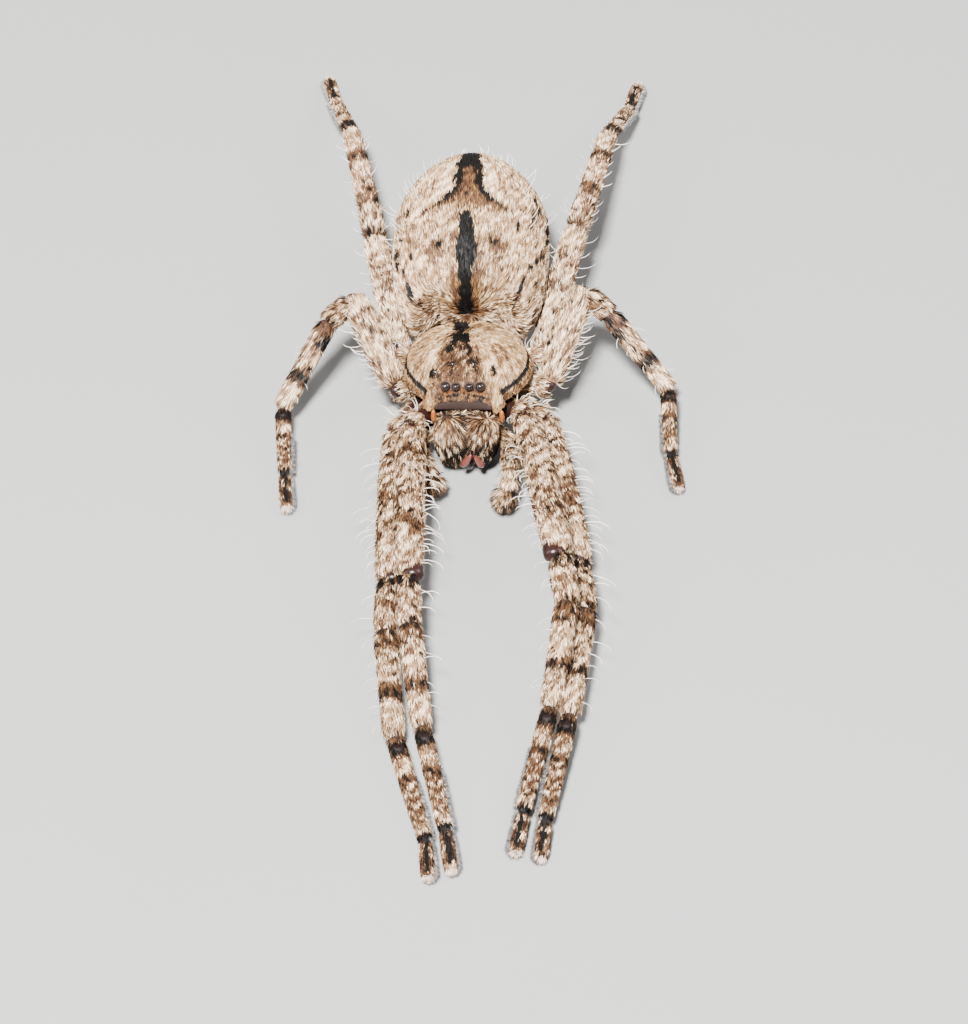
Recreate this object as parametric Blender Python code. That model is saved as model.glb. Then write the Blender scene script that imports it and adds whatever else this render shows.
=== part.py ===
"""A life-size huntsman spider at rest, head towards -Y, standing on eight feet on a flat floor.

Every length is in millimetres until it becomes a mesh, when MM turns it into metres.
Places are measured from the point of the floor under the carapace's middle, and the whole
animal is moved at the end so that its box stands centred over the origin.
Headings are in degrees from straight ahead (-Y) and grow outwards on either side of the body.
Around a limb, 0 degrees is its rear face, 90 its top and 180 its front face.
"""

import math
import random

import bmesh
import bpy
from mathutils import Matrix, Vector

MM = 0.001

# Driving dimensions of the animal
CARAPACE_LENGTH = 8.9
CARAPACE_HEIGHT = 3.0
MARGIN_LEVEL = 4.8
ABDOMEN_LENGTH = 15.4
ABDOMEN_WIDTH = 11.4
ABDOMEN_HEIGHT = 7.6
ABDOMEN_LEVEL = 5.4
# How square the abdomen's outline is at its front and its rear, in width and in height: 2 is an ellipse
ABDOMEN_FRONT = (3.4, 3.0)
ABDOMEN_REAR = (1.9, 2.2)
# The abdomen's front corners stand forward beside the carapace: by how much, and from where to where across
SHOULDER = (2.2, 1.8, 3.9)
JOINT_GAP = 0.3
EYE_GAP = 0.1

# Stance of the body, in degrees
HEAD_UP = 6.0
HEAD_TURN = -1.0
HEAD_ROLL = 3.0
ABDOMEN_TURN = 1.3

# The animal's right side is at -X, because it faces -Y
SIDES = {"right": -1, "left": 1}

# Lengths of femur, patella, tibia, metatarsus and tarsus of each pair of legs
LEG_LENGTHS = {
    1: (14.0, 4.2, 8.0, 8.5, 3.3),
    2: (13.6, 4.8, 8.8, 8.8, 3.1),
    3: (7.6, 2.5, 7.0, 5.6, 3.2),
    4: (11.4, 3.1, 8.9, 6.5, 3.4),
}
# Greatest half-width of femur, patella, tibia, metatarsus and tarsus
LEG_HALF_WIDTHS = {
    1: (1.08, 0.86, 0.74, 0.60, 0.50),
    2: (1.06, 0.82, 0.74, 0.60, 0.50),
    3: (1.02, 0.82, 0.68, 0.54, 0.46),
    4: (0.94, 0.82, 0.70, 0.56, 0.47),
}
COXA_HALF_WIDTH = 0.8
# A leg is turned with its front face up, so it is wider than it is high
LEG_FLATNESS = 0.82
# Height of the tarsus's end over the floor, and how near the floor its skin is pressed flat on it
FOOT_LEVEL = 0.36
FOOT_PRESS = 0.24

# Where each coxa leaves the sternum's wall: across, along and up
COXA_ROOTS = {1: (1.6, -1.95, 3.0), 2: (2.65, -0.9, 2.6), 3: (2.6, 0.85, 2.75), 4: (1.8, 2.15, 2.7)}

# The pose of each leg: the end of its trochanter (across, along, up), the headings of its five
# lengths, and how high over the floor the first four of them end
LEG_POSES = {
    ("right", 1): ((3.75, -5.2, 4.2), (-2, -4, -9, -14, -10), (4.1, 3.6, 2.0, 1.0)),
    ("right", 2): ((4.9, -4.6, 2.7), (-1, 0, -7, -17, -7), (2.4, 2.3, 1.4, 0.8)),
    ("right", 3): ((5.0, -1.3, 3.5), (150, 42, 34, -5, -6), (6.5, 6.1, 1.9, 0.9)),
    ("right", 4): ((4.95, 2.4, 3.15), (167.5, 168, 168, 164, 168), (3.7, 4.2, 3.5, 1.2)),
    ("left", 1): ((4.25, -3.8, 4.2), (12, 10, -6, -11, -7), (4.9, 4.4, 2.4, 1.0)),
    ("left", 2): ((5.65, -2.7, 2.65), (12, 8, -5, -9, -4), (2.5, 2.7, 1.9, 1.0)),
    ("left", 3): ((5.8, -0.5, 3.6), (161, 51, 55, 3, 13), (6.7, 6.2, 1.9, 0.9)),
    ("left", 4): ((5.2, 2.9, 3.3), (169, 167, 171, 165, 170), (5.0, 5.2, 3.6, 1.0)),
}

# Joints of the feelers (across, along, up), from the sternum to the tip, and their half-widths
PALP_JOINTS = {
    "right": (
        (0.95, -2.45, 2.15), (3.3, -4.7, 1.85), (2.95, -6.9, 2.35), (2.55, -7.55, 2.35), (2.3, -7.95, 1.9),
        (1.9, -8.6, 1.15),
    ),
    "left": (
        (0.95, -2.45, 2.15), (3.3, -4.7, 1.95), (3.4, -7.9, 2.9), (3.4, -8.5, 2.7), (3.3, -9.05, 2.1),
        (2.85, -9.8, 1.1),
    ),
}
PALP_HALF_WIDTHS = (0.5, 0.52, 0.56, 0.56, 0.58)
PALP_SHAPE = ((0.0, 0.6), (0.12, 0.86), (0.5, 1.0), (0.88, 0.88), (1.0, 0.55))
PALP_STATIONS = (0.0, 0.12, 0.35, 0.65, 0.88, 1.0)

# Half-width of the carapace's margin and share of its height along its middle, from front to rear
MARGIN = (
    (-4.45, 2.2), (-4.0, 2.62), (-3.2, 3.0), (-2.2, 3.75), (-1.0, 4.36), (0.2, 4.5), (1.5, 4.25),
    (2.8, 3.4), (3.7, 2.4), (4.2, 1.5), (4.45, 0.7),
)
CREST = (
    (-4.45, 0.15), (-4.2, 0.36), (-3.9, 0.54), (-3.4, 0.72), (-2.6, 0.87), (-1.4, 0.98), (0.0, 1.0),
    (1.2, 0.93), (2.4, 0.73), (3.4, 0.45), (4.1, 0.22), (4.45, 0.1),
)
CARAPACE_RIM = 0.32
# The pit behind the carapace's middle: along, depth, half-width and half-length
PIT = (1.3, 0.2, 0.3, 0.8)

# Eyes: across, along and up from the middle of the carapace's margin, and half of their width
EYES = {
    "front_middle": (0.47, -4.02, 1.52, 0.29),
    "front_outer": (1.24, -3.9, 1.44, 0.35),
    "rear_middle": (0.76, -2.7, 2.48, 0.24),
    "rear_outer": (2.02, -2.75, 1.80, 0.30),
}

# Chelicera from top to bottom: along, up, half-width and half-depth
CHELICERA = (
    (-4.5, 4.66, 0.95, 0.62), (-4.95, 3.95, 1.08, 1.0), (-5.15, 3.2, 1.12, 1.14),
    (-5.2, 2.4, 1.1, 1.12), (-5.2, 1.75, 1.0, 0.98), (-5.2, 1.25, 0.74, 0.74),
)
CHELICERA_OFFSET = 1.24
# The jaws stand a little to the animal's left
CHELICERA_SHIFT = 0.25
FANG_JOINTS = ((0.95, -5.5, 0.8), (0.82, -5.3, 0.45), (0.3, -4.6, 0.42))
FANG_SHAPE = ((0.0, 0.34), (0.25, 0.36), (0.6, 0.27), (1.0, 0.1))

# Shield between the legs' roots: half-width by place along it, and the rings' share of it by height
STERNUM_SHAPE = ((-2.3, 1.15), (-1.9, 1.6), (-0.6, 2.2), (1.0, 2.1), (2.2, 1.45), (3.0, 0.5))
STERNUM_MIDDLE = 0.35
STERNUM_LENGTH = 5.3
STERNUM_LEVELS = ((1.0, -0.62), (1.0, -2.2), (0.86, -2.75))
STERNUM_FOOT = -2.95

# Spinnerets: where their base meets the abdomen, the way they point, and rise, length and
# half-width of the cones on either side
SPINNERET_PLACE = 0.93
SPINNERET_WAY = (0.0, 0.74, -0.67)
SPINNERET_CONES = ((0.22, 1.1, 0.34), (-0.28, 0.75, 0.29))

SPINE_HALF_WIDTH = 0.25
SPINE_LENGTH = 1.7
SPINE_DEPTH = 0.3
# How far a bristle points out of the skin and along it, up to its knee and beyond
SPINE_LEANS = ((0.85, 0.52), (0.55, 0.83))
SPINE_SEED = 11

FINISHES = {
    "hairy_cuticle": ((0.52, 0.42, 0.31), 0.85),
    "fang_cuticle": ((0.30, 0.05, 0.04), 0.25),
    "eye_lens": ((0.01, 0.008, 0.007), 0.08),
}


def material(name):
    """A plain surface in the part's own colour."""
    found = bpy.data.materials.get(name)
    if found:
        return found
    colour, roughness = FINISHES[name]
    made = bpy.data.materials.new(name)
    made.use_nodes = True
    shader = made.node_tree.nodes["Principled BSDF"]
    shader.inputs["Base Color"].default_value = (*colour, 1)
    shader.inputs["Roughness"].default_value = roughness
    shader.inputs["Metallic"].default_value = 0.0
    return made


def between(stations, place):
    """The value at a place on a smooth line through (place, value) pairs in order of place."""
    places = [s[0] for s in stations]
    values = [s[1] for s in stations]
    if place <= places[0]:
        return values[0]
    if place >= places[-1]:
        return values[-1]
    i = max(k for k in range(len(places) - 1) if places[k] <= place)

    def slope(k):
        low, high = max(k - 1, 0), min(k + 1, len(places) - 1)
        return (values[high] - values[low]) / (places[high] - places[low])

    step = places[i + 1] - places[i]
    u = (place - places[i]) / step
    return (
        values[i] * (2 * u**3 - 3 * u**2 + 1)
        + slope(i) * step * (u**3 - 2 * u**2 + u)
        + values[i + 1] * (3 * u**2 - 2 * u**3)
        + slope(i + 1) * step * (u**3 - u**2)
    )


def circle(count):
    """The cosines and sines of points spread evenly round a circle."""
    return [(math.cos(2 * math.pi * k / count), math.sin(2 * math.pi * k / count)) for k in range(count)]


def add_solid(name, rings, poles, finish):
    """One closed solid through rings of points, which a pole closes at either end."""
    mesh = bmesh.new()
    loops = [[mesh.verts.new(p * MM) for p in ring] for ring in rings]
    count = len(rings[0])
    for low, high in zip(loops, loops[1:]):
        for k in range(count):
            n = (k + 1) % count
            mesh.faces.new((low[k], low[n], high[n], high[k]))
    for loop, pole in ((loops[0], poles[0]), (loops[-1], poles[1])):
        tip = mesh.verts.new(pole * MM)
        for k in range(count):
            mesh.faces.new((loop[k], loop[(k + 1) % count], tip))
    bmesh.ops.triangulate(mesh, faces=mesh.faces)
    bmesh.ops.recalc_face_normals(mesh, faces=mesh.faces)
    data = bpy.data.meshes.new(name)
    mesh.to_mesh(data)
    mesh.free()
    data.materials.append(material(finish))
    data.shade_smooth()
    made = bpy.data.objects.new(name, data)
    bpy.context.scene.collection.objects.link(made)
    return made


def boolean(body, pieces, operation):
    """Joins closed pieces to a body, or cuts them out of it, and keeps its largest closed surface."""
    group = bpy.data.collections.new("pieces")
    bpy.context.scene.collection.children.link(group)
    for piece in pieces:
        bpy.context.scene.collection.objects.unlink(piece)
        group.objects.link(piece)
    step = body.modifiers.new(operation, "BOOLEAN")
    step.operation = operation
    step.operand_type = "COLLECTION"
    step.collection = group
    step.solver = "EXACT"
    bpy.context.view_layer.update()
    evaluated = body.evaluated_get(bpy.context.evaluated_depsgraph_get())
    data = bpy.data.meshes.new_from_object(evaluated)
    body.modifiers.clear()
    body.data = data
    for piece in pieces:
        bpy.data.objects.remove(piece)
    bpy.data.collections.remove(group)
    keep_largest(body)


def keep_largest(body):
    """Drops every closed surface of a mesh but the one of greatest area."""
    mesh = bmesh.new()
    mesh.from_mesh(body.data)
    left = set(mesh.faces)
    surfaces = []
    while left:
        queue = [left.pop()]
        surface = list(queue)
        while queue:
            for edge in queue.pop().edges:
                for face in edge.link_faces:
                    if face in left:
                        left.discard(face)
                        queue.append(face)
                        surface.append(face)
        surfaces.append(surface)
    largest = max(surfaces, key=lambda faces: sum(f.calc_area() for f in faces))
    scraps = [f for faces in surfaces if faces is not largest for f in faces]
    bmesh.ops.delete(mesh, geom=scraps, context="FACES")
    mesh.to_mesh(body.data)
    mesh.free()


class Limb:
    """A length of oval section along its joints, with its half-width at shares of its length."""

    SMOOTHING = 0.03

    def __init__(self, joints, shape, side, bow=0.0, flatness=LEG_FLATNESS):
        self.joints = [Vector(j) for j in joints]
        self.shape = shape
        self.side = side
        self.bow = bow
        self.flatness = flatness
        self.runs = [(b - a).length for a, b in zip(self.joints, self.joints[1:])]
        self.length = sum(self.runs)

    def share(self, joint):
        """How far along the limb one of its joints is, from 0 to 1."""
        return sum(self.runs[:joint]) / self.length

    def centre(self, t):
        left = t * self.length
        last = len(self.runs) - 1
        for i, run in enumerate(self.runs):
            if left <= run or i == last:
                middle = self.joints[i].lerp(self.joints[i + 1], left / run)
                return middle + Vector((0, 0, self.bow * math.sin(math.pi * min(max(t, 0), 1))))
            left -= run

    def axes(self, t):
        """The ways along, to the rear face and up across the limb at t."""
        low, high = max(t - self.SMOOTHING, 0), min(t + self.SMOOTHING, 1)
        along = (self.centre(high) - self.centre(low)).normalized()
        rear = along.cross(Vector((0, 0, 1))).normalized() * -self.side
        up = rear.cross(along) * -self.side
        return along, rear, up

    def outward(self, t, cosine, sine):
        _, rear, up = self.axes(t)
        return rear * cosine + up * sine * self.flatness

    def surface(self, t, degrees):
        """A point of the surface and the way straight out of it."""
        turn = math.radians(degrees)
        out = self.outward(t, math.cos(turn), math.sin(turn))
        return self.centre(t) + out * between(self.shape, t), out.normalized()

    def solid(self, name, stations, sides, finish="hairy_cuticle", floor_from=None):
        """The closed solid; past floor_from its lowest points are pressed flat on the floor."""
        rings = []
        for t in stations:
            half = between(self.shape, t)
            ring = [self.centre(t) + self.outward(t, c, s) * half for c, s in circle(sides)]
            if floor_from is not None and t >= floor_from:
                for p in ring:
                    p.z = 0.0 if p.z < FOOT_PRESS else p.z
            rings.append(ring)
        return add_solid(name, rings, (self.centre(0), self.centre(1)), finish)


def spine(root, out, along, length):
    """One tapered bristle that leans towards the limb's end, with its root sunk in the limb."""
    across = out.cross(along).normalized()
    lean_low, lean_high = ((out * rise + along * run).normalized() for rise, run in SPINE_LEANS)
    foot = root - out * SPINE_DEPTH
    knee = root + lean_low * length * 0.5
    tip = knee + lean_high * length * 0.5
    rings = []
    for centre, share, way in ((foot, 1.0, out), (knee, 0.62, lean_low)):
        half = share * SPINE_HALF_WIDTH
        ahead = across.cross(way)
        rings.append([centre + (across * c + ahead * s) * half for c, s in circle(4)])
    return add_solid("spine", rings, (foot, tip), "hairy_cuticle")


def grow_spines(body, limb, rows, draw):
    """Sets rows of bristles on a limb: each row has its angle, first and last share, and count."""
    spines = []
    for degrees, first, last, count in rows:
        for k in range(count):
            t = first + (last - first) * (k + draw.uniform(0.25, 0.75)) / count
            root, out = limb.surface(t, degrees + draw.uniform(-9, 9))
            along = limb.axes(t)[0]
            spines.append(spine(root, out, along, SPINE_LENGTH * draw.uniform(0.8, 1.15)))
    if spines:
        boolean(body, spines, "UNION")


# Shapes of the legs' lengths: shares of the length and of the greatest half-width
COXA_SHAPE = (
    (0.0, 0.6), (0.12, 0.84), (0.45, 1.0), (0.66, 0.9), (0.73, 0.8), (0.84, 0.92), (1.0, 0.55),
)
COXA_STATIONS = (0.0, 0.12, 0.45, 0.66, 0.73, 0.86, 1.0)
FEMUR_SHAPE = (
    (0.0, 0.52), (0.04, 0.74), (0.12, 0.88), (0.35, 1.0), (0.6, 0.98), (0.85, 0.95), (0.95, 0.88),
    (1.0, 0.58),
)
FEMUR_STATIONS = (0.0, 0.04, 0.14, 0.35, 0.6, 0.82, 0.95, 1.0)
FEMUR_BOW = 0.3

# Rows of bristles on femur, tibia and foot of each pair: angle, first share, last share and count
BRISTLE_ROWS = {
    1: (
        ((150, 0.42, 0.95, 6), (95, 0.2, 0.9, 3)),
        ((165, 0.2, 0.92, 4), (85, 0.1, 0.8, 3)),
        ((170, 0.1, 0.6, 3),),
    ),
    2: (((10, 0.2, 0.95, 7),), ((8, 0.15, 0.92, 5),), ((10, 0.1, 0.6, 3),)),
    3: (
        ((165, 0.1, 0.54, 6), (25, 0.4, 0.85, 3)),
        ((170, 0.5, 0.92, 3), (15, 0.3, 0.9, 3)),
        ((10, 0.12, 0.6, 2),),
    ),
    4: (
        ((170, 0.3, 0.92, 6),),
        ((165, 0.2, 0.95, 4), (20, 0.3, 0.9, 4)),
        ((165, 0.12, 0.6, 2), (15, 0.12, 0.6, 2)),
    ),
}
# Bristles of the abdomen's rear: count on a side, first place and step along it, and lowest and highest lift
REAR_BRISTLES = (10, 0.38, 0.058, 5, 50)


def place(side, across, along, up):
    return Vector((side * across, along, up))


def leg_joints(side, pair, pose):
    """The joints from the trochanter's end to the claws, from lengths, headings and heights."""
    start, headings, heights = pose
    joints = [place(side, *start)]
    for length, heading, height in zip(LEG_LENGTHS[pair], headings, (*heights, FOOT_LEVEL)):
        rise = height - joints[-1].z
        run = math.sqrt(length**2 - rise**2)
        turn = math.radians(heading)
        joints.append(joints[-1] + Vector((side * run * math.sin(turn), -run * math.cos(turn), rise)))
    return joints


def part_at(before, joint, after, half_before, half_after):
    """The end of one length and the start of the next, so that they meet across the joint's gap."""
    first, second = (joint - before).normalized(), (after - joint).normalized()
    bend = first.angle(second)
    straight, folded = max(math.cos(bend), 0), max(-math.cos(bend), 0)
    overrun = half_after * math.sin(bend) - JOINT_GAP / 2 * straight
    clearance = (half_before + JOINT_GAP) * math.sin(bend) + JOINT_GAP / 2 * straight
    clearance += 3 * half_after * folded
    return joint + first * overrun, joint + second * clearance


def leg(side_name, pair, draw):
    """The four nodes of one leg: coxa with trochanter, femur, patella with tibia, and foot."""
    side = SIDES[side_name]
    root = place(side, *COXA_ROOTS[pair])
    j = leg_joints(side, pair, LEG_POSES[side_name, pair])
    femur_half, patella_half, tibia_half, metatarsus_half, tarsus_half = LEG_HALF_WIDTHS[pair]
    name = f"leg_{pair}_{side_name}"
    coxa_end, femur_start = part_at(root, j[0], j[1], COXA_HALF_WIDTH * 0.85, femur_half * 0.6)
    femur_end, tibia_start = part_at(j[0], j[1], j[2], femur_half * 0.85, patella_half * 0.6)
    tibia_end, foot_start = part_at(j[2], j[3], j[4], tibia_half * 0.8, metatarsus_half * 0.8)
    femur_rows, tibia_rows, foot_rows = BRISTLE_ROWS[pair]

    shape = [(t, share * COXA_HALF_WIDTH) for t, share in COXA_SHAPE]
    Limb((root, coxa_end), shape, side, flatness=1.0).solid(f"{name}_coxa", COXA_STATIONS, sides=8)

    shape = [(t, share * femur_half) for t, share in FEMUR_SHAPE]
    limb = Limb((femur_start, femur_end), shape, side, bow=FEMUR_BOW)
    grow_spines(limb.solid(f"{name}_femur", FEMUR_STATIONS, sides=10), limb, femur_rows, draw)

    limb = Limb((tibia_start, j[2], tibia_end), (), side)
    waist = limb.share(1)
    limb.shape = (
        (0.0, patella_half * 0.55), (0.03, patella_half * 0.82), (waist * 0.45, patella_half),
        (waist * 0.85, patella_half * 0.96), (waist, patella_half * 0.74), (waist + 0.06, tibia_half * 1.06),
        (0.75, tibia_half), (0.95, tibia_half * 0.94), (1.0, tibia_half * 0.58),
    )
    stations = (0.0, 0.035, waist * 0.45, waist * 0.86, waist, waist + 0.07, 0.62, 0.955, 1.0)
    grow_spines(limb.solid(f"{name}_tibia", stations, sides=10), limb, tibia_rows, draw)

    limb = Limb((foot_start, j[4], j[5]), (), side)
    waist = limb.share(1)
    limb.shape = (
        (0.0, metatarsus_half * 0.62), (0.04, metatarsus_half), (0.2, metatarsus_half * 1.02),
        (waist * 0.9, metatarsus_half * 0.88), (waist, metatarsus_half * 0.74), (waist + 0.07, tarsus_half),
        (0.94, tarsus_half * 1.02), (1.0, tarsus_half * 0.74),
    )
    stations = (0.0, 0.04, 0.2, waist * 0.88, waist, waist + 0.08, 0.89, 0.95, 1.0)
    foot = limb.solid(f"{name}_foot", stations, sides=8, floor_from=waist + 0.05)
    grow_spines(foot, limb, foot_rows, draw)


def palp(side_name):
    """The four nodes of one feeler: coxa, femur, patella with tibia, and tarsus."""
    side = SIDES[side_name]
    j = [place(side, *joint) for joint in PALP_JOINTS[side_name]]
    half = PALP_HALF_WIDTHS
    name = f"palp_{side_name}"
    coxa_end, femur_start = part_at(j[0], j[1], j[2], half[0] * 0.8, half[1] * 0.6)
    femur_end, tibia_start = part_at(j[1], j[2], j[3], half[1] * 0.8, half[2] * 0.6)
    tibia_end, tarsus_start = part_at(j[3], j[4], j[5], half[3] * 0.8, half[4] * 0.6)
    lengths = {
        "coxa": ((j[0], coxa_end), half[0]),
        "femur": ((femur_start, femur_end), half[1]),
        "tibia": ((tibia_start, j[3], tibia_end), half[2]),
        "tarsus": ((tarsus_start, j[5]), half[4]),
    }
    for part, (joints, widest) in lengths.items():
        shape = [(t, share * widest) for t, share in PALP_SHAPE]
        Limb(joints, shape, side, flatness=0.95).solid(f"{name}_{part}", PALP_STATIONS, sides=8)


def head_frame():
    """Carries the carapace's own frame, whose margin is level, to the raised and turned head."""
    lift = Matrix.Translation((0, 0, MARGIN_LEVEL))
    turn, roll, raise_head = (Matrix.Rotation(math.radians(a), 4, axis) for a, axis in (
        (HEAD_TURN, "Z"), (-HEAD_ROLL, "Y"), (-HEAD_UP, "X")))
    return lift @ turn @ roll @ raise_head


def carapace_height(x, y):
    """Height over the margin: a broad dome with a pit behind its middle."""
    across = min(abs(x) / between(MARGIN, y), 1.0)
    dome = CARAPACE_HEIGHT * between(CREST, y) * (1 - across**2.3) ** 0.62
    middle, depth, wide, long = PIT
    return max(dome - depth * math.exp(-((x / wide) ** 2) - ((y - middle) / long) ** 2), 0.0)


def carapace():
    """The shield over the legs' roots, with a thin rim under it and sockets for the eyes."""
    ring_count = 8
    half_length = CARAPACE_LENGTH / 2
    outline = []
    for cosine, sine in circle(30):
        y = -cosine * half_length
        side = 0 if abs(sine) < 0.01 else math.copysign(1, sine)
        outline.append(Vector((side * between(MARGIN, y), y, 0)))
    turn = head_frame()
    rings = [[turn @ Vector((p.x * 0.86, p.y * 0.86, -CARAPACE_RIM)) for p in outline]]
    rings.append([turn @ Vector((p.x * 0.985, p.y * 0.985, -CARAPACE_RIM * 0.6)) for p in outline])
    for i in range(ring_count):
        share = math.sin(math.pi / 2 * (1 - i / ring_count))
        ring = [(p.x * share, p.y * share) for p in outline]
        rings.append([turn @ Vector((x, y, carapace_height(x, y))) for x, y in ring])
    poles = (turn @ Vector((0, 0, -CARAPACE_RIM)), turn @ Vector((0, 0, carapace_height(0, 0))))
    body = add_solid("carapace", rings, poles, "hairy_cuticle")
    sockets = [eye("socket", row, side, EYE_GAP) for row in EYES for side in SIDES.values()]
    boolean(body, sockets, "DIFFERENCE")


def eye(name, row, side, gap=0.0):
    """One lens, a ball sunk in the carapace; a socket's ball is larger by the gap."""
    across, along, up, half = EYES[row]
    centre = head_frame() @ Vector((side * across, along, up))
    half += gap
    rings = []
    for step in range(1, 5):
        polar = math.pi * step / 5
        level = centre + Vector((0, 0, math.cos(polar) * half))
        rings.append([level + Vector((c, s, 0)) * math.sin(polar) * half for c, s in circle(8)])
    top = Vector((0, 0, half))
    return add_solid(name, rings, (centre + top, centre - top), "eye_lens")


def sternum():
    """The shield under the body and the wall that the legs' roots stand against."""
    turn = head_frame()
    outline = []
    for cosine, sine in circle(16):
        y = STERNUM_MIDDLE - cosine * STERNUM_LENGTH / 2
        outline.append(Vector((sine * between(STERNUM_SHAPE, y), y, 0)))
    rings = [[turn @ Vector((p.x * share, p.y * share, z)) for p in outline] for share, z in STERNUM_LEVELS]
    poles = [turn @ Vector((0, STERNUM_MIDDLE, z)) for z in (STERNUM_LEVELS[0][1], STERNUM_FOOT)]
    add_solid("sternum", rings, poles, "hairy_cuticle")


def chelicera(side_name):
    """The jaw under the eyes, with its fang folded inwards below it."""
    side = SIDES[side_name]
    turn = Matrix.Rotation(math.radians(HEAD_TURN), 3, "Z")
    rings = []
    for i, (along, up, half, deep) in enumerate(CHELICERA):
        low, high = CHELICERA[max(i - 1, 0)], CHELICERA[min(i + 1, len(CHELICERA) - 1)]
        way = Vector((0, high[0] - low[0], high[1] - low[1])).normalized()
        ahead = Vector((0, way.z, -way.y))
        centre = Vector((side * CHELICERA_OFFSET + CHELICERA_SHIFT, along, up))
        rings.append([turn @ (centre + Vector((c * half, 0, 0)) + ahead * s * deep) for c, s in circle(12)])
    top, bottom = CHELICERA[0], CHELICERA[-1]
    poles = (
        turn @ Vector((side * CHELICERA_OFFSET + CHELICERA_SHIFT, top[0] + 0.08, top[1] + 0.12)),
        turn @ Vector((side * CHELICERA_OFFSET + CHELICERA_SHIFT, bottom[0], bottom[1] - 0.15)),
    )
    add_solid(f"chelicera_{side_name}", rings, poles, "hairy_cuticle")
    joints = [place(side, *joint) + Vector((CHELICERA_SHIFT, 0, 0)) for joint in FANG_JOINTS]
    fang = Limb(joints, FANG_SHAPE, side, flatness=1.0)
    fang.SMOOTHING = 0.2
    fang.solid(f"fang_{side_name}", (0.0, 0.2, 0.45, 0.7, 1.0), sides=8, finish="fang_cuticle")


def superellipse(t, power):
    """Half-width of a rounded outline at t from -1 to 1, which is 1 at t = 0."""
    return max(0.0, 1 - abs(t) ** power) ** (1 / power)


def rise(x, low, high):
    """0 below low and 1 above high, with a soft rise between them."""
    u = min(max((x - low) / (high - low), 0.0), 1.0)
    return u * u * (3 - 2 * u)


def abdomen_point(t, cosine, sine):
    """A point of the abdomen's surface: t runs from front to rear, the angle runs from the flank up."""
    half = ABDOMEN_LENGTH / 2
    middle = CARAPACE_LENGTH / 2 + JOINT_GAP + half
    square_wide, square_high = ABDOMEN_FRONT if t < 0 else ABDOMEN_REAR
    width = ABDOMEN_WIDTH / 2 * superellipse(t, square_wide)
    share = 0.53 if sine > 0 else 0.47
    height = ABDOMEN_HEIGHT * share * superellipse(t, square_high)
    forward, first, last = SHOULDER
    forward *= rise(abs(width * cosine), first, last) * rise(-t, 0.2, 0.95)
    point = Vector((width * cosine, middle + half * t - forward, ABDOMEN_LEVEL + height * sine))
    return Matrix.Rotation(math.radians(ABDOMEN_TURN), 3, "Z") @ point


def abdomen(draw):
    """An oval sack with bristles round its rear."""
    steps = 13
    places = [-math.cos(math.pi * i / steps) for i in range(1, steps)]
    rings = [[abdomen_point(t, c, s) for c, s in circle(18)] for t in places]
    body = add_solid("abdomen", rings, (abdomen_point(-1, 1, 0), abdomen_point(1, 1, 0)), "hairy_cuticle")
    spines = []
    count, first, step, lowest, highest = REAR_BRISTLES
    backwards = Vector((0, 0.9, 0.3)).normalized()
    for side in SIDES.values():
        for k in range(count):
            t = first + step * (k + draw.uniform(0.2, 0.8))
            lift = math.radians(draw.uniform(lowest, highest))
            root = abdomen_point(t, side * math.cos(lift), math.sin(lift))
            out = (root - abdomen_point(t - 0.45, 0, 0)).normalized()
            spines.append(spine(root, out, backwards, SPINE_LENGTH * draw.uniform(0.75, 1.0)))
    boolean(body, spines, "UNION")


def pedicel():
    """The stalk between the legs' shield and the abdomen."""
    shape = ((0.0, 0.32), (0.3, 0.42), (0.7, 0.42), (1.0, 0.32))
    limb = Limb(((0, 3.4, 3.0), (-0.08, 4.85, 3.6)), shape, 1, flatness=0.9)
    limb.solid("pedicel", (0.0, 0.3, 0.7, 1.0), sides=8)


def spinnerets():
    """Two pairs of short cones on one base, which meets the underside of the abdomen's rear end."""
    way = Vector(SPINNERET_WAY)
    root = abdomen_point(SPINNERET_PLACE, 0, -1) + way * JOINT_GAP
    base = Limb((root, root + way * 0.7), ((0.0, 0.75), (0.6, 0.8), (1.0, 0.55)), 1, flatness=0.9)
    body = base.solid("spinnerets", (0.0, 0.6, 1.0), sides=10)
    cones = []
    for side in SIDES.values():
        for lift, length, half in SPINNERET_CONES:
            start = root + way * 0.35 + Vector((side * 0.36, lift * 0.67, lift * 0.74))
            end = start + (way + Vector((side * 0.12, 0.35, 0.1))) * length
            cone = Limb((start, end), ((0.0, half), (0.7, half * 0.85), (1.0, half * 0.5)), 1, flatness=1.0)
            cones.append(cone.solid("cone", (0.0, 0.7, 1.0), sides=6))
    boolean(body, cones, "UNION")


def stand_on_origin():
    """Moves every piece so that the whole animal's box stands centred over the origin, on z = 0."""
    corners = [v.co for piece in bpy.data.objects for v in piece.data.vertices]
    low = [min(c[i] for c in corners) for i in range(3)]
    high = [max(c[i] for c in corners) for i in range(3)]
    shift = Matrix.Translation((-(low[0] + high[0]) / 2, -(low[1] + high[1]) / 2, -low[2]))
    for piece in bpy.data.objects:
        piece.data.transform(shift)


def build():
    for old in list(bpy.data.objects):
        bpy.data.objects.remove(old)
    draw = random.Random(SPINE_SEED)
    carapace()
    for row in EYES:
        for side_name, side in SIDES.items():
            eye(f"eye_{row}_{side_name}", row, side)
    sternum()
    pedicel()
    abdomen(draw)
    spinnerets()
    for side_name in SIDES:
        chelicera(side_name)
        palp(side_name)
        for pair in LEG_LENGTHS:
            leg(side_name, pair, draw)
    stand_on_origin()


build()
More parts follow.
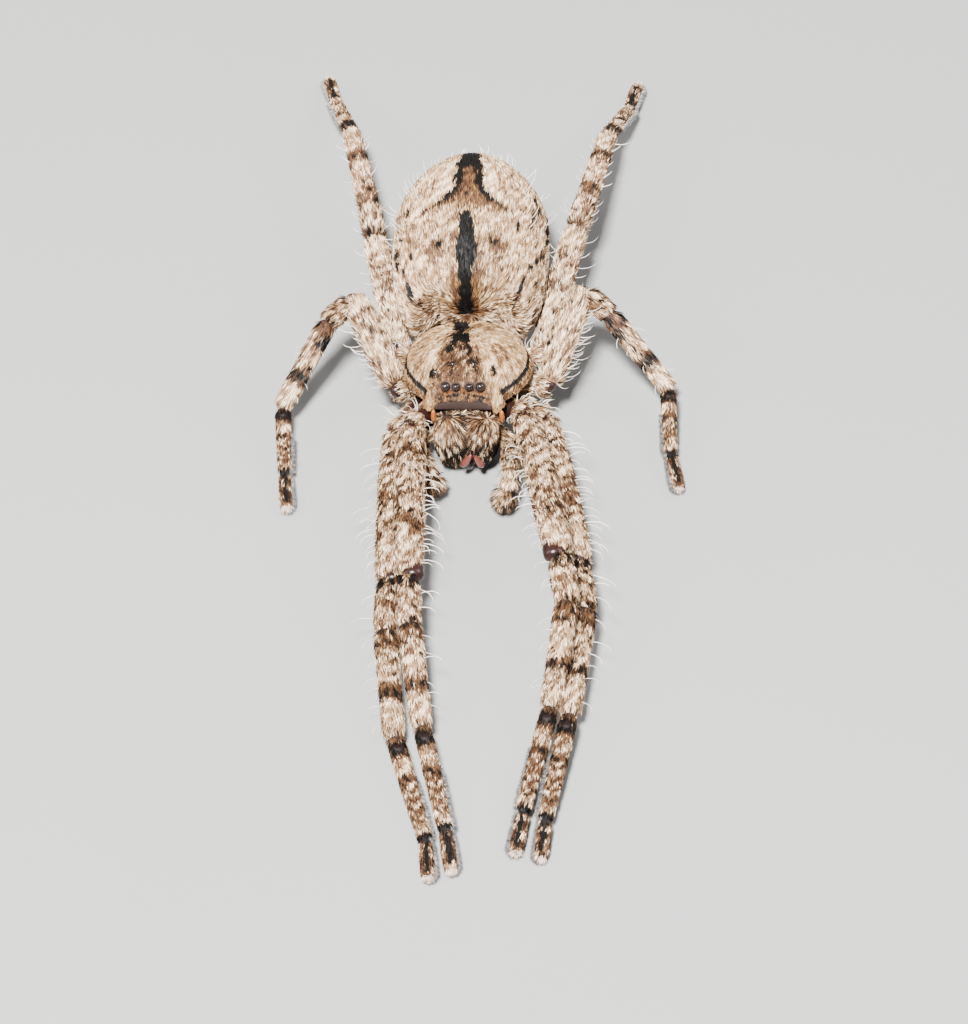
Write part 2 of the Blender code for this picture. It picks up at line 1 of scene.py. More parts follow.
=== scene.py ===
"""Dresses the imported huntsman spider: one skin, a coat of short tufts, bristles, eyes, fangs and claws.

Lengths are in millimetres and are measured from the point of the floor under the carapace's
middle, as in the part's own source, until on_frame() turns them into metres of the frame.
Around a limb, 0 degrees is its rear face, 90 its top and 180 its front face.
"""

import math
from functools import partial

import bpy
import numpy as np
from mathutils import Matrix, Vector


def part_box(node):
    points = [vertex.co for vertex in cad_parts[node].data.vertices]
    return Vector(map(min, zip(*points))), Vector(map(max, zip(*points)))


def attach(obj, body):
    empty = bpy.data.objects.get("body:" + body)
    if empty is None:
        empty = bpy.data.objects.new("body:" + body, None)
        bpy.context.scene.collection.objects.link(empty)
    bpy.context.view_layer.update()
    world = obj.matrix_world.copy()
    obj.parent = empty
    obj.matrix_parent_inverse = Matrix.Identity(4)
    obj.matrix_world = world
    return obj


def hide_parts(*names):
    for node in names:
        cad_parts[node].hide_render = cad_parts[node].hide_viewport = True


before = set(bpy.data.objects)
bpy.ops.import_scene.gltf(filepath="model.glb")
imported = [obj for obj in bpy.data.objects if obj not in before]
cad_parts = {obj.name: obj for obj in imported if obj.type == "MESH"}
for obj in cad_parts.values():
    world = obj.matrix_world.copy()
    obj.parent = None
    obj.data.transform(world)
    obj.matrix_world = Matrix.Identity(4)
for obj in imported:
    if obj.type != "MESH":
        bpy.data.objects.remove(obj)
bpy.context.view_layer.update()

bl_info = {
    "name": "Huntsman Spider",
    "version": (1, 0, 0),
    "blender": (4, 5, 0),
    "location": "View3D > Sidebar > Spider",
    "description": "Builds the skin, coat, bristles, eyes, fangs and claws of a museum model of a spider",
    "category": "Add Mesh",
}

MM = 0.001
BODY = "root"

# The body's sizes and stance, as the part's source has them
CARAPACE_LENGTH = 8.9
CARAPACE_HEIGHT = 3.0
CARAPACE_RIM = 0.32
MARGIN_LEVEL = 4.8
ABDOMEN_LENGTH = 15.4
ABDOMEN_WIDTH = 11.4
ABDOMEN_HEIGHT = 7.6
ABDOMEN_LEVEL = 5.4
# How square the abdomen's outline is at its front and its rear, in width and in height: 2 is an ellipse
ABDOMEN_FRONT = (3.4, 3.0)
ABDOMEN_REAR = (1.9, 2.2)
# The abdomen's front corners stand forward beside the carapace: by how much, and from where to where across
SHOULDER = (2.2, 1.8, 3.9)
JOINT_GAP = 0.3
HEAD_UP, HEAD_TURN, HEAD_ROLL, ABDOMEN_TURN = 6.0, -1.0, 3.0, 1.3
SIDES = {"right": -1, "left": 1}

# Lengths and greatest half-widths of femur, patella, tibia, metatarsus and tarsus
LEG_LENGTHS = {
    1: (14.0, 4.2, 8.0, 8.5, 3.3),
    2: (13.6, 4.8, 8.8, 8.8, 3.1),
    3: (7.6, 2.5, 7.0, 5.6, 3.2),
    4: (11.4, 3.1, 8.9, 6.5, 3.4),
}
LEG_HALF_WIDTHS = {
    1: (1.08, 0.86, 0.74, 0.60, 0.50),
    2: (1.06, 0.82, 0.74, 0.60, 0.50),
    3: (1.02, 0.82, 0.68, 0.54, 0.46),
    4: (0.94, 0.82, 0.70, 0.56, 0.47),
}
COXA_HALF_WIDTH = 0.8
LEG_FLATNESS = 0.82
FEMUR_BOW = 0.3
FOOT_LEVEL = 0.36
COXA_ROOTS = {1: (1.6, -1.95, 3.0), 2: (2.65, -0.9, 2.6), 3: (2.6, 0.85, 2.75), 4: (1.8, 2.15, 2.7)}

# The trochanter's end, the headings of the five lengths and the heights of their first four ends
LEG_POSES = {
    ("right", 1): ((3.75, -5.2, 4.2), (-2, -4, -9, -14, -10), (4.1, 3.6, 2.0, 1.0)),
    ("right", 2): ((4.9, -4.6, 2.7), (-1, 0, -7, -17, -7), (2.4, 2.3, 1.4, 0.8)),
    ("right", 3): ((5.0, -1.3, 3.5), (150, 42, 34, -5, -6), (6.5, 6.1, 1.9, 0.9)),
    ("right", 4): ((4.95, 2.4, 3.15), (167.5, 168, 168, 164, 168), (3.7, 4.2, 3.5, 1.2)),
    ("left", 1): ((4.25, -3.8, 4.2), (12, 10, -6, -11, -7), (4.9, 4.4, 2.4, 1.0)),
    ("left", 2): ((5.65, -2.7, 2.65), (12, 8, -5, -9, -4), (2.5, 2.7, 1.9, 1.0)),
    ("left", 3): ((5.8, -0.5, 3.6), (161, 51, 55, 3, 13), (6.7, 6.2, 1.9, 0.9)),
    ("left", 4): ((5.2, 2.9, 3.3), (169, 167, 171, 165, 170), (5.0, 5.2, 3.6, 1.0)),
}
PALP_JOINTS = {
    "right": (
        (0.95, -2.45, 2.15), (3.3, -4.7, 1.85), (2.95, -6.9, 2.35), (2.55, -7.55, 2.35), (2.3, -7.95, 1.9),
        (1.9, -8.6, 1.15),
    ),
    "left": (
        (0.95, -2.45, 2.15), (3.3, -4.7, 1.95), (3.4, -7.9, 2.9), (3.4, -8.5, 2.7), (3.3, -9.05, 2.1),
        (2.85, -9.8, 1.1),
    ),
}
PALP_HALF_WIDTHS = (0.5, 0.52, 0.56, 0.56, 0.58)

# The carapace's half-width and its share of the height along the middle, from front to rear
MARGIN = (
    (-4.45, 2.2), (-4.0, 2.62), (-3.2, 3.0), (-2.2, 3.75), (-1.0, 4.36), (0.2, 4.5), (1.5, 4.25),
    (2.8, 3.4), (3.7, 2.4), (4.2, 1.5), (4.45, 0.7),
)
CREST = (
    (-4.45, 0.15), (-4.2, 0.36), (-3.9, 0.54), (-3.4, 0.72), (-2.6, 0.87), (-1.4, 0.98), (0.0, 1.0),
    (1.2, 0.93), (2.4, 0.73), (3.4, 0.45), (4.1, 0.22), (4.45, 0.1),
)
# The pit behind the carapace's middle: along, depth, half-width and half-length
PIT = (1.3, 0.2, 0.3, 0.8)

# Eyes: across, along and up from the middle of the carapace's margin, and half of their width
EYES = {
    "front_middle": (0.47, -4.02, 1.52, 0.29),
    "front_outer": (1.24, -3.9, 1.44, 0.35),
    "rear_middle": (0.76, -2.7, 2.48, 0.24),
    "rear_outer": (2.02, -2.75, 1.80, 0.30),
}
# Eyes that stand further forward than this are in the front row
FRONT_ROW = -3.5
# Chelicera from top to bottom: along, up, half-width and half-depth
CHELICERA = (
    (-4.5, 4.66, 0.95, 0.62), (-4.95, 3.95, 1.08, 1.0), (-5.15, 3.2, 1.12, 1.14),
    (-5.2, 2.4, 1.1, 1.12), (-5.2, 1.75, 1.0, 0.98), (-5.2, 1.25, 0.74, 0.74),
)
CHELICERA_OFFSET = 1.24
CHELICERA_SHIFT = 0.25
FANG_JOINTS = ((0.95, -5.5, 0.8), (0.82, -5.3, 0.45), (0.3, -4.6, 0.42))

# The photo's camera: its angles, its distance, and where a point of the animal stands in the picture
VIEW_UP, VIEW_TURN = 48.0, 2.5
CAMERA_DISTANCE = 360.0
PICTURE = (968, 1024)
PICTURE_SCALE = 13.9
AIM = (0.0, 0.0, 4.8)
AIM_PIXEL = (467.5, 367.0)
SENSOR = 36.0

# How far the skin lies inside the solids, which reach to the outside of the coat
COAT_DEPTH = 0.08
# The part of the unwrap that one hair takes at its root's place, along the hair and across it
PATCH = 0.003


def unit(vectors):
    """The same directions with a length of one."""
    return vectors / np.maximum(np.linalg.norm(vectors, axis=-1, keepdims=True), 1e-9)


def smooth(stations, place):
    """Values at places on a smooth line through (place, value) pairs in order of place."""
    places, values = (np.array(column, float) for column in zip(*stations))
    last = len(places) - 1
    order = np.arange(last + 1)
    low, high = np.maximum(order - 1, 0), np.minimum(order + 1, last)
    slopes = (values[high] - values[low]) / (places[high] - places[low])
    place = np.clip(place, places[0], places[-1])
    i = np.clip(np.searchsorted(places, place, "right") - 1, 0, last - 1)
    gap = places[i + 1] - places[i]
    u = (place - places[i]) / gap
    return (
        values[i] * (2 * u**3 - 3 * u**2 + 1)
        + slopes[i] * gap * (u**3 - 2 * u**2 + u)
        + values[i + 1] * (3 * u**2 - 2 * u**3)
        + slopes[i + 1] * gap * (u**3 - u**2)
    )


def rise(x, low, high):
    """0 below low and 1 above high, with a soft step between them."""
    u = np.clip((x - low) / (high - low), 0, 1)
    return u * u * (3 - 2 * u)


def band(x, low, high, soft=0.03):
    return rise(x, low - soft, low + soft) * (1 - rise(x, high - soft, high + soft))


def spot(x, centre, width):
    return np.exp(-(((x - centre) / width) ** 2))


def mottle(points, size, seed):
    """A soft random pattern from 0 to 1, whose patches are about half of size across."""
    draw = np.random.default_rng(seed)
    waves = unit(draw.normal(size=(9, 3))) * (2 * math.pi / size) * draw.uniform(0.7, 1.5, (9, 1))
    total = np.sin(points @ waves.T + draw.uniform(0, 2 * math.pi, 9)).sum(axis=1)
    return 0.5 + 0.5 * np.tanh(total * 0.55)


def seen(points):
    """Where points stand in the picture, across and down."""
    turn, up = math.radians(VIEW_TURN), math.radians(VIEW_UP)
    x, y, z = points[:, 0], points[:, 1], points[:, 2] - AIM[2]
    away = y * math.cos(turn) - x * math.sin(turn)
    across = x * math.cos(turn) + y * math.sin(turn)
    down = -(away * math.sin(up) + z * math.cos(up))
    return AIM_PIXEL[0] + PICTURE_SCALE * across, AIM_PIXEL[1] + PICTURE_SCALE * down


def blots(points, places, larger=1.0):
    """Soft oval marks: where they stand in the picture, their half-width and half-length, and their lean."""
    across, down = seen(points)
    total = np.zeros_like(across)
    for x, y, wide, long, lean in places:
        c, s = math.cos(math.radians(lean)), math.sin(math.radians(lean))
        u, v = (across - x) * c + (down - y) * s, (down - y) * c - (across - x) * s
        total = np.maximum(total, np.exp(-((u / wide) ** 4 + (v / long) ** 4) / larger**4))
    return total


def turned(points, axis, degrees):
    return points @ np.array(Matrix.Rotation(math.radians(degrees), 3, axis)).T


def head(points):
    """Carries points of the carapace's own level frame to the raised and turned head."""
    points = turned(np.asarray(points, float), "X", -HEAD_UP)
    return turned(turned(points, "Y", -HEAD_ROLL), "Z", HEAD_TURN) + np.array((0, 0, MARGIN_LEVEL))


def frame_shift():
    """From the carapace's middle to the frame's origin, read from where the frame has an eye."""
    across, along, up, _ = EYES["front_middle"]
    low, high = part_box("eye_front_middle_left")
    return np.array((low + high) / 2) / MM - head((across, along, up))


SHIFT = frame_shift()


def on_frame(points):
    return (np.asarray(points, float) + SHIFT) * MM


# What the marks of a sheet say: shares of brown, black and golden hair and of bare skin, and then factors
# on how close the hair stands, on its length, on its lift off the skin and on its width
PLAIN_MARKS = {
    "brown": 0.3, "black": 0.0, "gold": 0.0, "bare": 0.0,
    "cover": 1.0, "reach": 1.0, "lift": 1.0, "thin": 1.0,
}
# The marks that the materials read from the meshes
MARK_NAMES = ("brown", "black", "gold", "bare")


class Sheet:
    """A closed stretch of skin.

    place(s, turn) gives its points, for s along it and turn round it, both from 0 to 1.
    lie(s, turn, points) is the way that its hair lies, and marks(s, degrees, points) its pattern.
    """

    STEP = 1e-3

    def __init__(self, name, place, lie, marks, rings, sides):
        self.name, self.place, self.lie, self.marks = name, place, lie, marks
        self.rings, self.sides = rings, sides
        self.limb = None
        turn = np.linspace(0, 1, 24, endpoint=False)
        middle = np.full_like(turn, 0.5)
        ring = place(middle, turn)
        self.sign = 1
        way = self.frame_at(middle, turn)[1]
        self.sign = 1 if np.sum(way * (ring - ring.mean(axis=0))) > 0 else -1

    def frame_at(self, s, turn):
        """The points, the ways straight out of the skin there, and the area for a unit of s and turn."""
        s = np.clip(s, 0.002, 0.998)
        points = self.place(s, turn)
        along = (self.place(s + self.STEP, turn) - self.place(s - self.STEP, turn)) / (2 * self.STEP)
        around = (self.place(s, turn + self.STEP) - self.place(s, turn - self.STEP)) / (2 * self.STEP)
        out = np.cross(around, along) * self.sign
        area = np.linalg.norm(out, axis=1)
        return points, unit(out), area

    def pattern(self, s, turn, points):
        """The marks, with the plain value of each that the sheet doesn't set."""
        found = {**PLAIN_MARKS, **self.marks(s, (turn % 1.0) * 360, points)}
        if self.limb:
            found["cover"] = found["cover"] * self.limb.clear_of_joints(s)
        return {k: np.clip(np.broadcast_to(v, s.shape), 0, 3).astype(float) for k, v in found.items()}

    def shell(self):
        """Points, faces and marks of the sheet's own closed mesh."""
        s = (1 - np.cos(np.pi * np.linspace(0, 1, self.rings + 2)[1:-1])) / 2
        turn = np.linspace(0, 1, self.sides, endpoint=False)
        s_all = np.concatenate((np.repeat(s, self.sides), (0.0, 1.0)))
        turn_all = np.concatenate((np.tile(turn, self.rings), (0.0, 0.0)))
        points = self.place(s_all, turn_all)
        k = np.arange(self.sides)
        n = (k + 1) % self.sides
        faces = []
        for ring in range(self.rings - 1):
            low, high = ring * self.sides, (ring + 1) * self.sides
            faces.extend(np.stack((low + k, low + n, high + n, high + k), axis=1).tolist())
        first, last = self.rings * self.sides, self.rings * self.sides + 1
        top = (self.rings - 1) * self.sides
        faces.extend([first, int(b), int(a)] for a, b in zip(k, n))
        faces.extend([last, int(top + a), int(top + b)] for a, b in zip(k, n))
        if self.sign > 0:
            faces = [face[::-1] for face in faces]
        return points, faces, self.pattern(s_all, turn_all, points)


class Limb:
    """A stretch of oval section from one joint to the next, rounded at both ends."""

    def __init__(self, start, end, half, profile, side, bow=0.0, flatness=LEG_FLATNESS, caps=(0.5, 0.5)):
        self.start, self.end = np.array(start, float), np.array(end, float)
        self.length = np.linalg.norm(self.end - self.start)
        self.along = (self.end - self.start) / self.length
        rear = np.cross(self.along, (0.0, 0.0, 1.0)) * -side
        self.rear = rear / np.linalg.norm(rear)
        self.up = np.cross(self.rear, self.along) * -side
        self.half, self.profile, self.bow, self.flatness, self.caps = half, profile, bow, flatness, caps

    def centre(self, s):
        s = np.asarray(s, float)[..., None]
        lift = self.bow * np.sin(np.pi * np.clip(s, 0, 1)) * np.array((0.0, 0.0, 1.0))
        return self.start + (self.end - self.start) * s + lift

    def width(self, s):
        body = smooth(self.profile, s) * self.half - COAT_DEPTH
        for from_end, cap in ((s, self.caps[0]), (1 - s, self.caps[1])):
            near = np.clip(from_end * self.length / cap, 0, 1)
            body = body * np.sqrt(np.maximum(1 - (1 - near) ** 2, 0))
        return body

    def place(self, s, turn):
        angle = 2 * np.pi * turn
        out = np.cos(angle)[..., None] * self.rear + np.sin(angle)[..., None] * self.up * self.flatness
        points = self.centre(s) + out * self.width(s)[..., None]
        points[..., 2] = np.maximum(points[..., 2], 0.0)
        return points

    def lie(self, s, turn, points):
        return np.broadcast_to(self.along, points.shape)

    def clear_of_joints(self, s):
        """Less than 1 near the ends, where hair would stand out against the next length."""
        from_start = s * self.length
        return rise(from_start, 0.12, 0.38) * (1 - rise(from_start, self.length - 0.16, self.length - 0.05))


def place(side, across, along, up):
    return np.array((side * across, along, up))


def leg_joints(side_name, pair):
    """The joints from the trochanter's end to the claws."""
    side = SIDES[side_name]
    start, headings, heights = LEG_POSES[side_name, pair]
    joints = [place(side, *start)]
    for length, heading, height in zip(LEG_LENGTHS[pair], headings, (*heights, FOOT_LEVEL)):
        up = height - joints[-1][2]
        run = math.sqrt(length**2 - up**2)
        turn = math.radians(heading)
        joints.append(joints[-1] + np.array((side * run * math.sin(turn), -run * math.cos(turn), up)))
    return joints


# Shapes of the lengths: shares of the length and of the greatest half-width
COXA_SHAPE = ((0.0, 0.7), (0.12, 0.86), (0.45, 1.0), (0.66, 0.9), (0.73, 0.76), (0.84, 0.94), (1.0, 0.85))
FEMUR_SHAPE = ((0.0, 0.72), (0.06, 0.84), (0.14, 0.9), (0.35, 1.0), (0.6, 0.98), (0.85, 0.96), (1.0, 0.88))
PATELLA_SHAPE = ((0.0, 0.78), (0.15, 0.92), (0.5, 1.0), (0.85, 0.97), (1.0, 0.9))
TIBIA_SHAPE = ((0.0, 0.98), (0.15, 1.06), (0.6, 1.0), (0.92, 0.98), (1.0, 0.9))
METATARSUS_SHAPE = ((0.0, 0.84), (0.1, 1.0), (0.4, 1.0), (0.9, 0.88), (1.0, 0.84))
TARSUS_SHAPE = ((0.0, 0.84), (0.15, 0.98), (0.7, 1.04), (1.0, 0.96))
EVEN_SHAPE = ((0.0, 1.0), (1.0, 1.0))


def coxa_marks(pair, s, degrees, points):
    """Bare glossy skin on the joints' membranes and, on the front legs, on the faces beside the jaws."""
    membrane = np.maximum(band(s, 0.68, 0.79, 0.02), rise(s, 0.95, 0.98))
    face = 0.0 if pair > 2 else band(degrees, 50, 250, 15) * (1 - rise(s, 0.7, 0.8))
    bare = np.maximum(membrane * (degrees < 260), face)
    return {"bare": bare, "cover": (1 - rise(bare, 0.3, 0.6)) * 1.1, "brown": 0.2, "reach": 1.1}


def femur_marks(pair, s, degrees, points):
    """Cream with brown dapples, and on legs I and II two soft bands and bare crescents at the root."""
    patch, middle, fine = mottle(points, 2.1, 3), mottle(points, 0.85, 4), mottle(points, 0.45, 23)
    zones = band(s, 0.43, 0.56, 0.08) + band(s, 0.64, 0.77, 0.08) + 0.5 * band(s, 0.18, 0.28, 0.08)
    pale = band(s, 0.8, 0.97, 0.04)
    dapple = rise(middle, 0.55, 0.95) * (1 - 0.6 * pale)
    black = 0.04 + 0.9 * rise(fine * middle, 0.7, 0.86) * (1 - pale) + 0.15 * zones * dapple
    if pair > 2:
        brown = 0.2 + 0.45 * dapple * patch + 0.3 * zones * middle + 0.2 * fine
        return {"brown": brown, "black": black}
    brown = 0.2 + zones * (0.1 + 0.25 * patch + 0.25 * middle) + 0.45 * dapple + 0.16 * fine
    crescents = sum(spot(s, c, 0.022) * spot(degrees, a, 26) for c, a in ((0.045, 95), (0.1, 130)))
    knee = band(degrees, 125, 240, 14) * rise(s, 0.955, 0.975)
    bare = np.maximum(rise(crescents, 0.4, 0.6), knee)
    return {"brown": brown, "black": black, "bare": bare, "cover": 1 - bare}


def patella_marks(pair, s, degrees, points):
    """Two black spots at its base, a dark line at its end, and bare skin on the front face of its base."""
    middle, fine = mottle(points, 0.8, 6), mottle(points, 0.5, 24)
    strength = 1.1 if pair < 3 else 0.4
    spots = strength * spot(s, 0.13, 0.1) * (spot(degrees, 48, 24) + spot(degrees, 118, 26))
    seam = rise(s, 0.95, 0.98)
    brown = 0.3 + 0.42 * rise(middle, 0.55, 0.9) + 0.18 * fine + 0.2 * band(s, 0.5, 0.62, 0.06) + 0.5 * seam
    black = 0.04 + np.maximum(spots, 0.55 * seam) + 0.9 * rise(fine * middle, 0.7, 0.86)
    bare = band(degrees, 125, 245, 14) * (1 - rise(s, 0.12, 0.22)) if pair < 3 else 0.0 * s
    return {"brown": brown, "black": black, "bare": bare, "cover": 1 - bare}


# How strong the bands of the tibia are on each pair of legs
TIBIA_BANDS = {1: 0.85, 2: 0.85, 3: 1.1, 4: 0.75}


def tibia_marks(pair, s, degrees, points):
    """A mottled brown base, and a brown ring with black spots past its middle."""
    patch, middle, fine = mottle(points, 1.5, 7), mottle(points, 0.75, 8), mottle(points, 0.5, 25)
    strong = TIBIA_BANDS[pair]
    base = band(s, -0.1, 0.16 + 0.1 * (patch - 0.5), 0.05)
    ring = band(s, 0.52, 0.66, 0.04)
    pale = band(s, 0.7, 0.97, 0.03)
    dots = sum(spot(degrees, a, 19) for a in (15, 62, 116, 172, 235, 300))
    black = strong * (1.1 * spot(s, 0.6, 0.045) * dots + 0.6 * base * rise(middle, 0.68, 0.9))
    if pair == 3:
        black = black + 0.75 * band(s, 0.12, 0.25, 0.03) * band(degrees, 120, 260, 20) + 0.2 * ring
    speckle = 0.04 + 0.8 * rise(fine * middle, 0.74, 0.9) * (1 - pale)
    brown = 0.27 + strong * (0.75 * base * (0.5 + 0.7 * middle) + 0.75 * ring * (0.5 + 0.7 * patch))
    brown = brown + 0.3 * rise(middle, 0.6, 0.95) * (1 - 0.6 * pale) + 0.15 * fine
    return {"brown": brown, "black": black + speckle}


def metatarsus_marks(pair, s, degrees, points):
    """A black base with a glossy bare oval on top, a dark ring past it, chevrons, and a black end."""
    patch, fine = mottle(points, 1.0, 9), mottle(points, 0.5, 10)
    oval = spot(s, 0.12, 0.05) * spot(degrees, 90, 38)
    base = band(s, 0.05, 0.19, 0.03)
    collar = band(s, -0.1, 0.22, 0.03)
    ring = spot(s, 0.43, 0.04)
    end = rise(s, 0.93, 0.96)
    fold = 0.09 * np.abs(np.sin(np.radians(degrees - 90)))
    chevrons = sum(spot(s + fold, c, 0.024) for c in (0.56, 0.66, 0.76, 0.86)) * (0.5 + 0.6 * patch)
    black = base * (0.35 + 0.4 * fine + 0.4 * spot(degrees, 90, 60)) + 0.95 * end
    black = black + 0.9 * ring * rise(fine, 0.3, 0.7) + 0.55 * chevrons * fine + 0.06
    brown = 0.28 + 0.28 * fine + 0.5 * collar + 0.8 * ring + 0.9 * chevrons + 0.6 * end
    bare = rise(oval, 0.35, 0.6)
    return {
        "brown": brown * (0.9 if pair == 4 else 1.0) * (bare < 0.3), "black": np.maximum(black, bare),
        "gold": 0.45 * collar, "bare": bare, "cover": 1 - bare, "reach": 0.8,
    }


def tarsus_marks(pair, s, degrees, points):
    """Dark along its top, brown beside that and pale at its tip."""
    patch, fine = mottle(points, 0.9, 11), mottle(points, 0.5, 26)
    line = 0.8 * spot(degrees, 90, 27) * band(s, 0.1, 0.82, 0.06)
    brown = 0.3 + 0.5 * patch + 0.3 * fine - 0.35 * rise(s, 0.86, 0.95)
    return {"brown": brown, "black": line + 0.6 * (1 - rise(s, 0.06, 0.14)) + 0.3 * patch, "reach": 0.62}


def bare_marks(s, degrees, points):
    return {"bare": 1.0, "cover": 0.0}


def knob(name, joint, before, after, half, side, forward=0.0):
    """The bare membrane of a joint, which shows between the hairy lengths that it joins."""
    way = unit(unit(after - joint) + unit(joint - before)) * half * 0.9
    joint = joint - Limb(before, after, half, EVEN_SHAPE, side).rear * forward
    limb = Limb(joint - way, joint + way, half, EVEN_SHAPE, side, flatness=0.86, caps=(0.5, 0.5))
    return Sheet(name, limb.place, limb.lie, bare_marks, 10, 20)


# The knee's membrane: its half-width as a share of the patella's, and how far it stands forward
KNEES = {1: (1.02, 0.34), 2: (0.95, 0.24), 3: (0.72, 0.0), 4: (0.72, 0.0)}
# How far the skin of a femur, patella or metatarsus starts past its joint
JOINT_INSET = 0.12
LEG_SIDES = 24


def leg_sheets(side_name, pair):
    """The skin of a leg's six lengths, from its root to its claws, and the membranes between them."""
    side = SIDES[side_name]
    root = place(side, *COXA_ROOTS[pair])
    j = leg_joints(side_name, pair)
    femur, patella, tibia, metatarsus, tarsus = LEG_HALF_WIDTHS[pair]
    name = f"leg_{pair}_{side_name}"
    # Name, both ends, half-width, shape, marks, bow, lengths of the round ends, and rings of points
    parts = (
        ("coxa", root, j[0], COXA_HALF_WIDTH, COXA_SHAPE, coxa_marks, 0.0, (0.3, 0.45), 26),
        ("femur", j[0], j[1], femur, FEMUR_SHAPE, femur_marks, FEMUR_BOW, (0.5, 0.5), 52),
        ("patella", j[1], j[2], patella, PATELLA_SHAPE, patella_marks, 0.0, (0.45, 0.35), 24),
        ("tibia", j[2], j[3], tibia, TIBIA_SHAPE, tibia_marks, 0.0, (0.35, 0.4), 40),
        ("metatarsus", j[3], j[4], metatarsus, METATARSUS_SHAPE, metatarsus_marks, 0.0, (0.35, 0.3), 40),
        ("tarsus", j[4], j[5], tarsus, TARSUS_SHAPE, tarsus_marks, 0.0, (0.3, 0.4), 20),
    )
    sheets = []
    for part, start, end, half, shape, marks, bow, caps, rings in parts:
        inset = JOINT_INSET if part in ("femur", "patella", "metatarsus") else 0.0
        flatness = 1.0 if part == "coxa" else LEG_FLATNESS
        limb = Limb(start + unit(end - start) * inset, end, half, shape, side, bow, flatness, caps)
        sheet = Sheet(f"{name}_{part}", limb.place, limb.lie, partial(marks, pair), rings, LEG_SIDES)
        sheet.limb = limb
        sheets.append(sheet)
    ends = (root, *j)
    knee, bulge = KNEES[pair]
    knobs = (
        (1, femur * 0.62, 0.0), (2, patella * knee, bulge),
        (4, metatarsus * 0.8, 0.05), (5, tarsus * 0.7, 0.0),
    )
    for i, half, forward in knobs:
        sheets.append(knob(f"{name}_knob_{i}", ends[i], ends[i - 1], ends[i + 1], half, side, forward))
    return sheets


def palp_marks(part, s, degrees, points):
    """Cream with a dark end on each length, and a brown brush at the tip."""
    fine = mottle(points, 0.5, 12)
    if part == "tarsus":
        return {"brown": 0.35 + 0.6 * fine, "black": 0.5 * fine, "reach": 1.2, "cover": 1.2, "lift": 1.7}
    end = 0.8 * rise(s, 0.93, 0.99)
    return {"brown": 0.12 + 0.4 * fine + end, "gold": 0.3, "black": 0.7 * end + 0.3 * rise(fine, 0.7, 0.9)}


PALP_SHAPE = ((0.0, 0.8), (0.12, 0.92), (0.5, 1.0), (0.88, 0.95), (1.0, 0.85))


def palp_sheets(side_name):
    side = SIDES[side_name]
    j = [place(side, *joint) for joint in PALP_JOINTS[side_name]]
    sheets = []
    for i, part in enumerate(("coxa", "femur", "patella", "tibia", "tarsus")):
        limb = Limb(j[i], j[i + 1], PALP_HALF_WIDTHS[i], PALP_SHAPE, side, flatness=0.95, caps=(0.3, 0.35))
        sheet = Sheet(f"palp_{side_name}_{part}", limb.place, limb.lie, partial(palp_marks, part), 18, 20)
        sheet.limb = limb
        sheets.append(sheet)
    return sheets


def carapace_height(x, y):
    """Height over the margin: a broad dome with a pit behind its middle."""
    across = np.minimum(np.abs(x) / smooth(MARGIN, y), 1.0)
    dome = CARAPACE_HEIGHT * smooth(CREST, y) * (1 - across**2.3) ** 0.62
    middle, depth, wide, long = PIT
    return np.maximum(dome - depth * np.exp(-((x / wide) ** 2) - ((y - middle) / long) ** 2), 0)


# Points of one flank of the carapace, and of its whole outline once they are spread evenly
FLANK_POINTS = 500
OUTLINE_POINTS = 720


def carapace_outline():
    """Across and along of points evenly spaced round the margin, from the middle of its front."""
    along = np.linspace(-CARAPACE_LENGTH / 2, CARAPACE_LENGTH / 2, FLANK_POINTS)
    flank = np.stack((smooth(MARGIN, along), along), axis=1)
    loop = np.concatenate(([(0, along[0])], flank, [(0, along[-1])], flank[::-1] * (-1, 1), [(0, along[0])]))
    places = np.concatenate(([0], np.cumsum(np.linalg.norm(np.diff(loop, axis=0), axis=1))))
    even = np.linspace(0, places[-1], OUTLINE_POINTS + 1)[:-1]
    outline = np.stack([np.interp(even, places, loop[:, k]) for k in (0, 1)], axis=1)
    reach = 5
    return sum(np.roll(outline, k, axis=0) for k in range(-reach, reach + 1)) / (2 * reach + 1)


OUTLINE = carapace_outline()
DOME_SHARE = 0.8
RIM_SHAPE = ((0.0, 1.0), (0.35, 1.01), (0.55, 0.985), (0.75, 0.86), (1.0, 0.0))
RIM_DROP = ((0.0, 0.0), (0.35, 0.5), (0.55, 0.75), (0.75, 1.0), (1.0, 1.0))


def carapace_flat(s, turn):
    """Across, along and up in the carapace's own frame: over the dome, round the rim and under it."""
    steps = np.linspace(0, 1, len(OUTLINE), endpoint=False)
    across, along = (np.interp(turn % 1.0, steps, OUTLINE[:, k], period=1.0) for k in (0, 1))
    over = np.clip(s / DOME_SHARE, 0, 1)
    under = np.clip((s - DOME_SHARE) / (1 - DOME_SHARE), 0, 1)
    share = np.where(under > 0, smooth(RIM_SHAPE, under), np.sin(np.pi / 2 * over))
    x, y = across * share, along * share
    edge = np.maximum(carapace_height(across, along) - COAT_DEPTH, 0)
    rim = edge * (1 - rise(under, 0.0, 0.45)) - CARAPACE_RIM * smooth(RIM_DROP, under)
    up = np.where(under > 0, rim, np.maximum(carapace_height(x, y) - COAT_DEPTH, 0))
    return x, y, up, under


def carapace_place(s, turn):
    x, y, up, _ = carapace_flat(np.clip(s, 0, 1), turn)
    return head(np.stack((x, y, up), axis=-1))


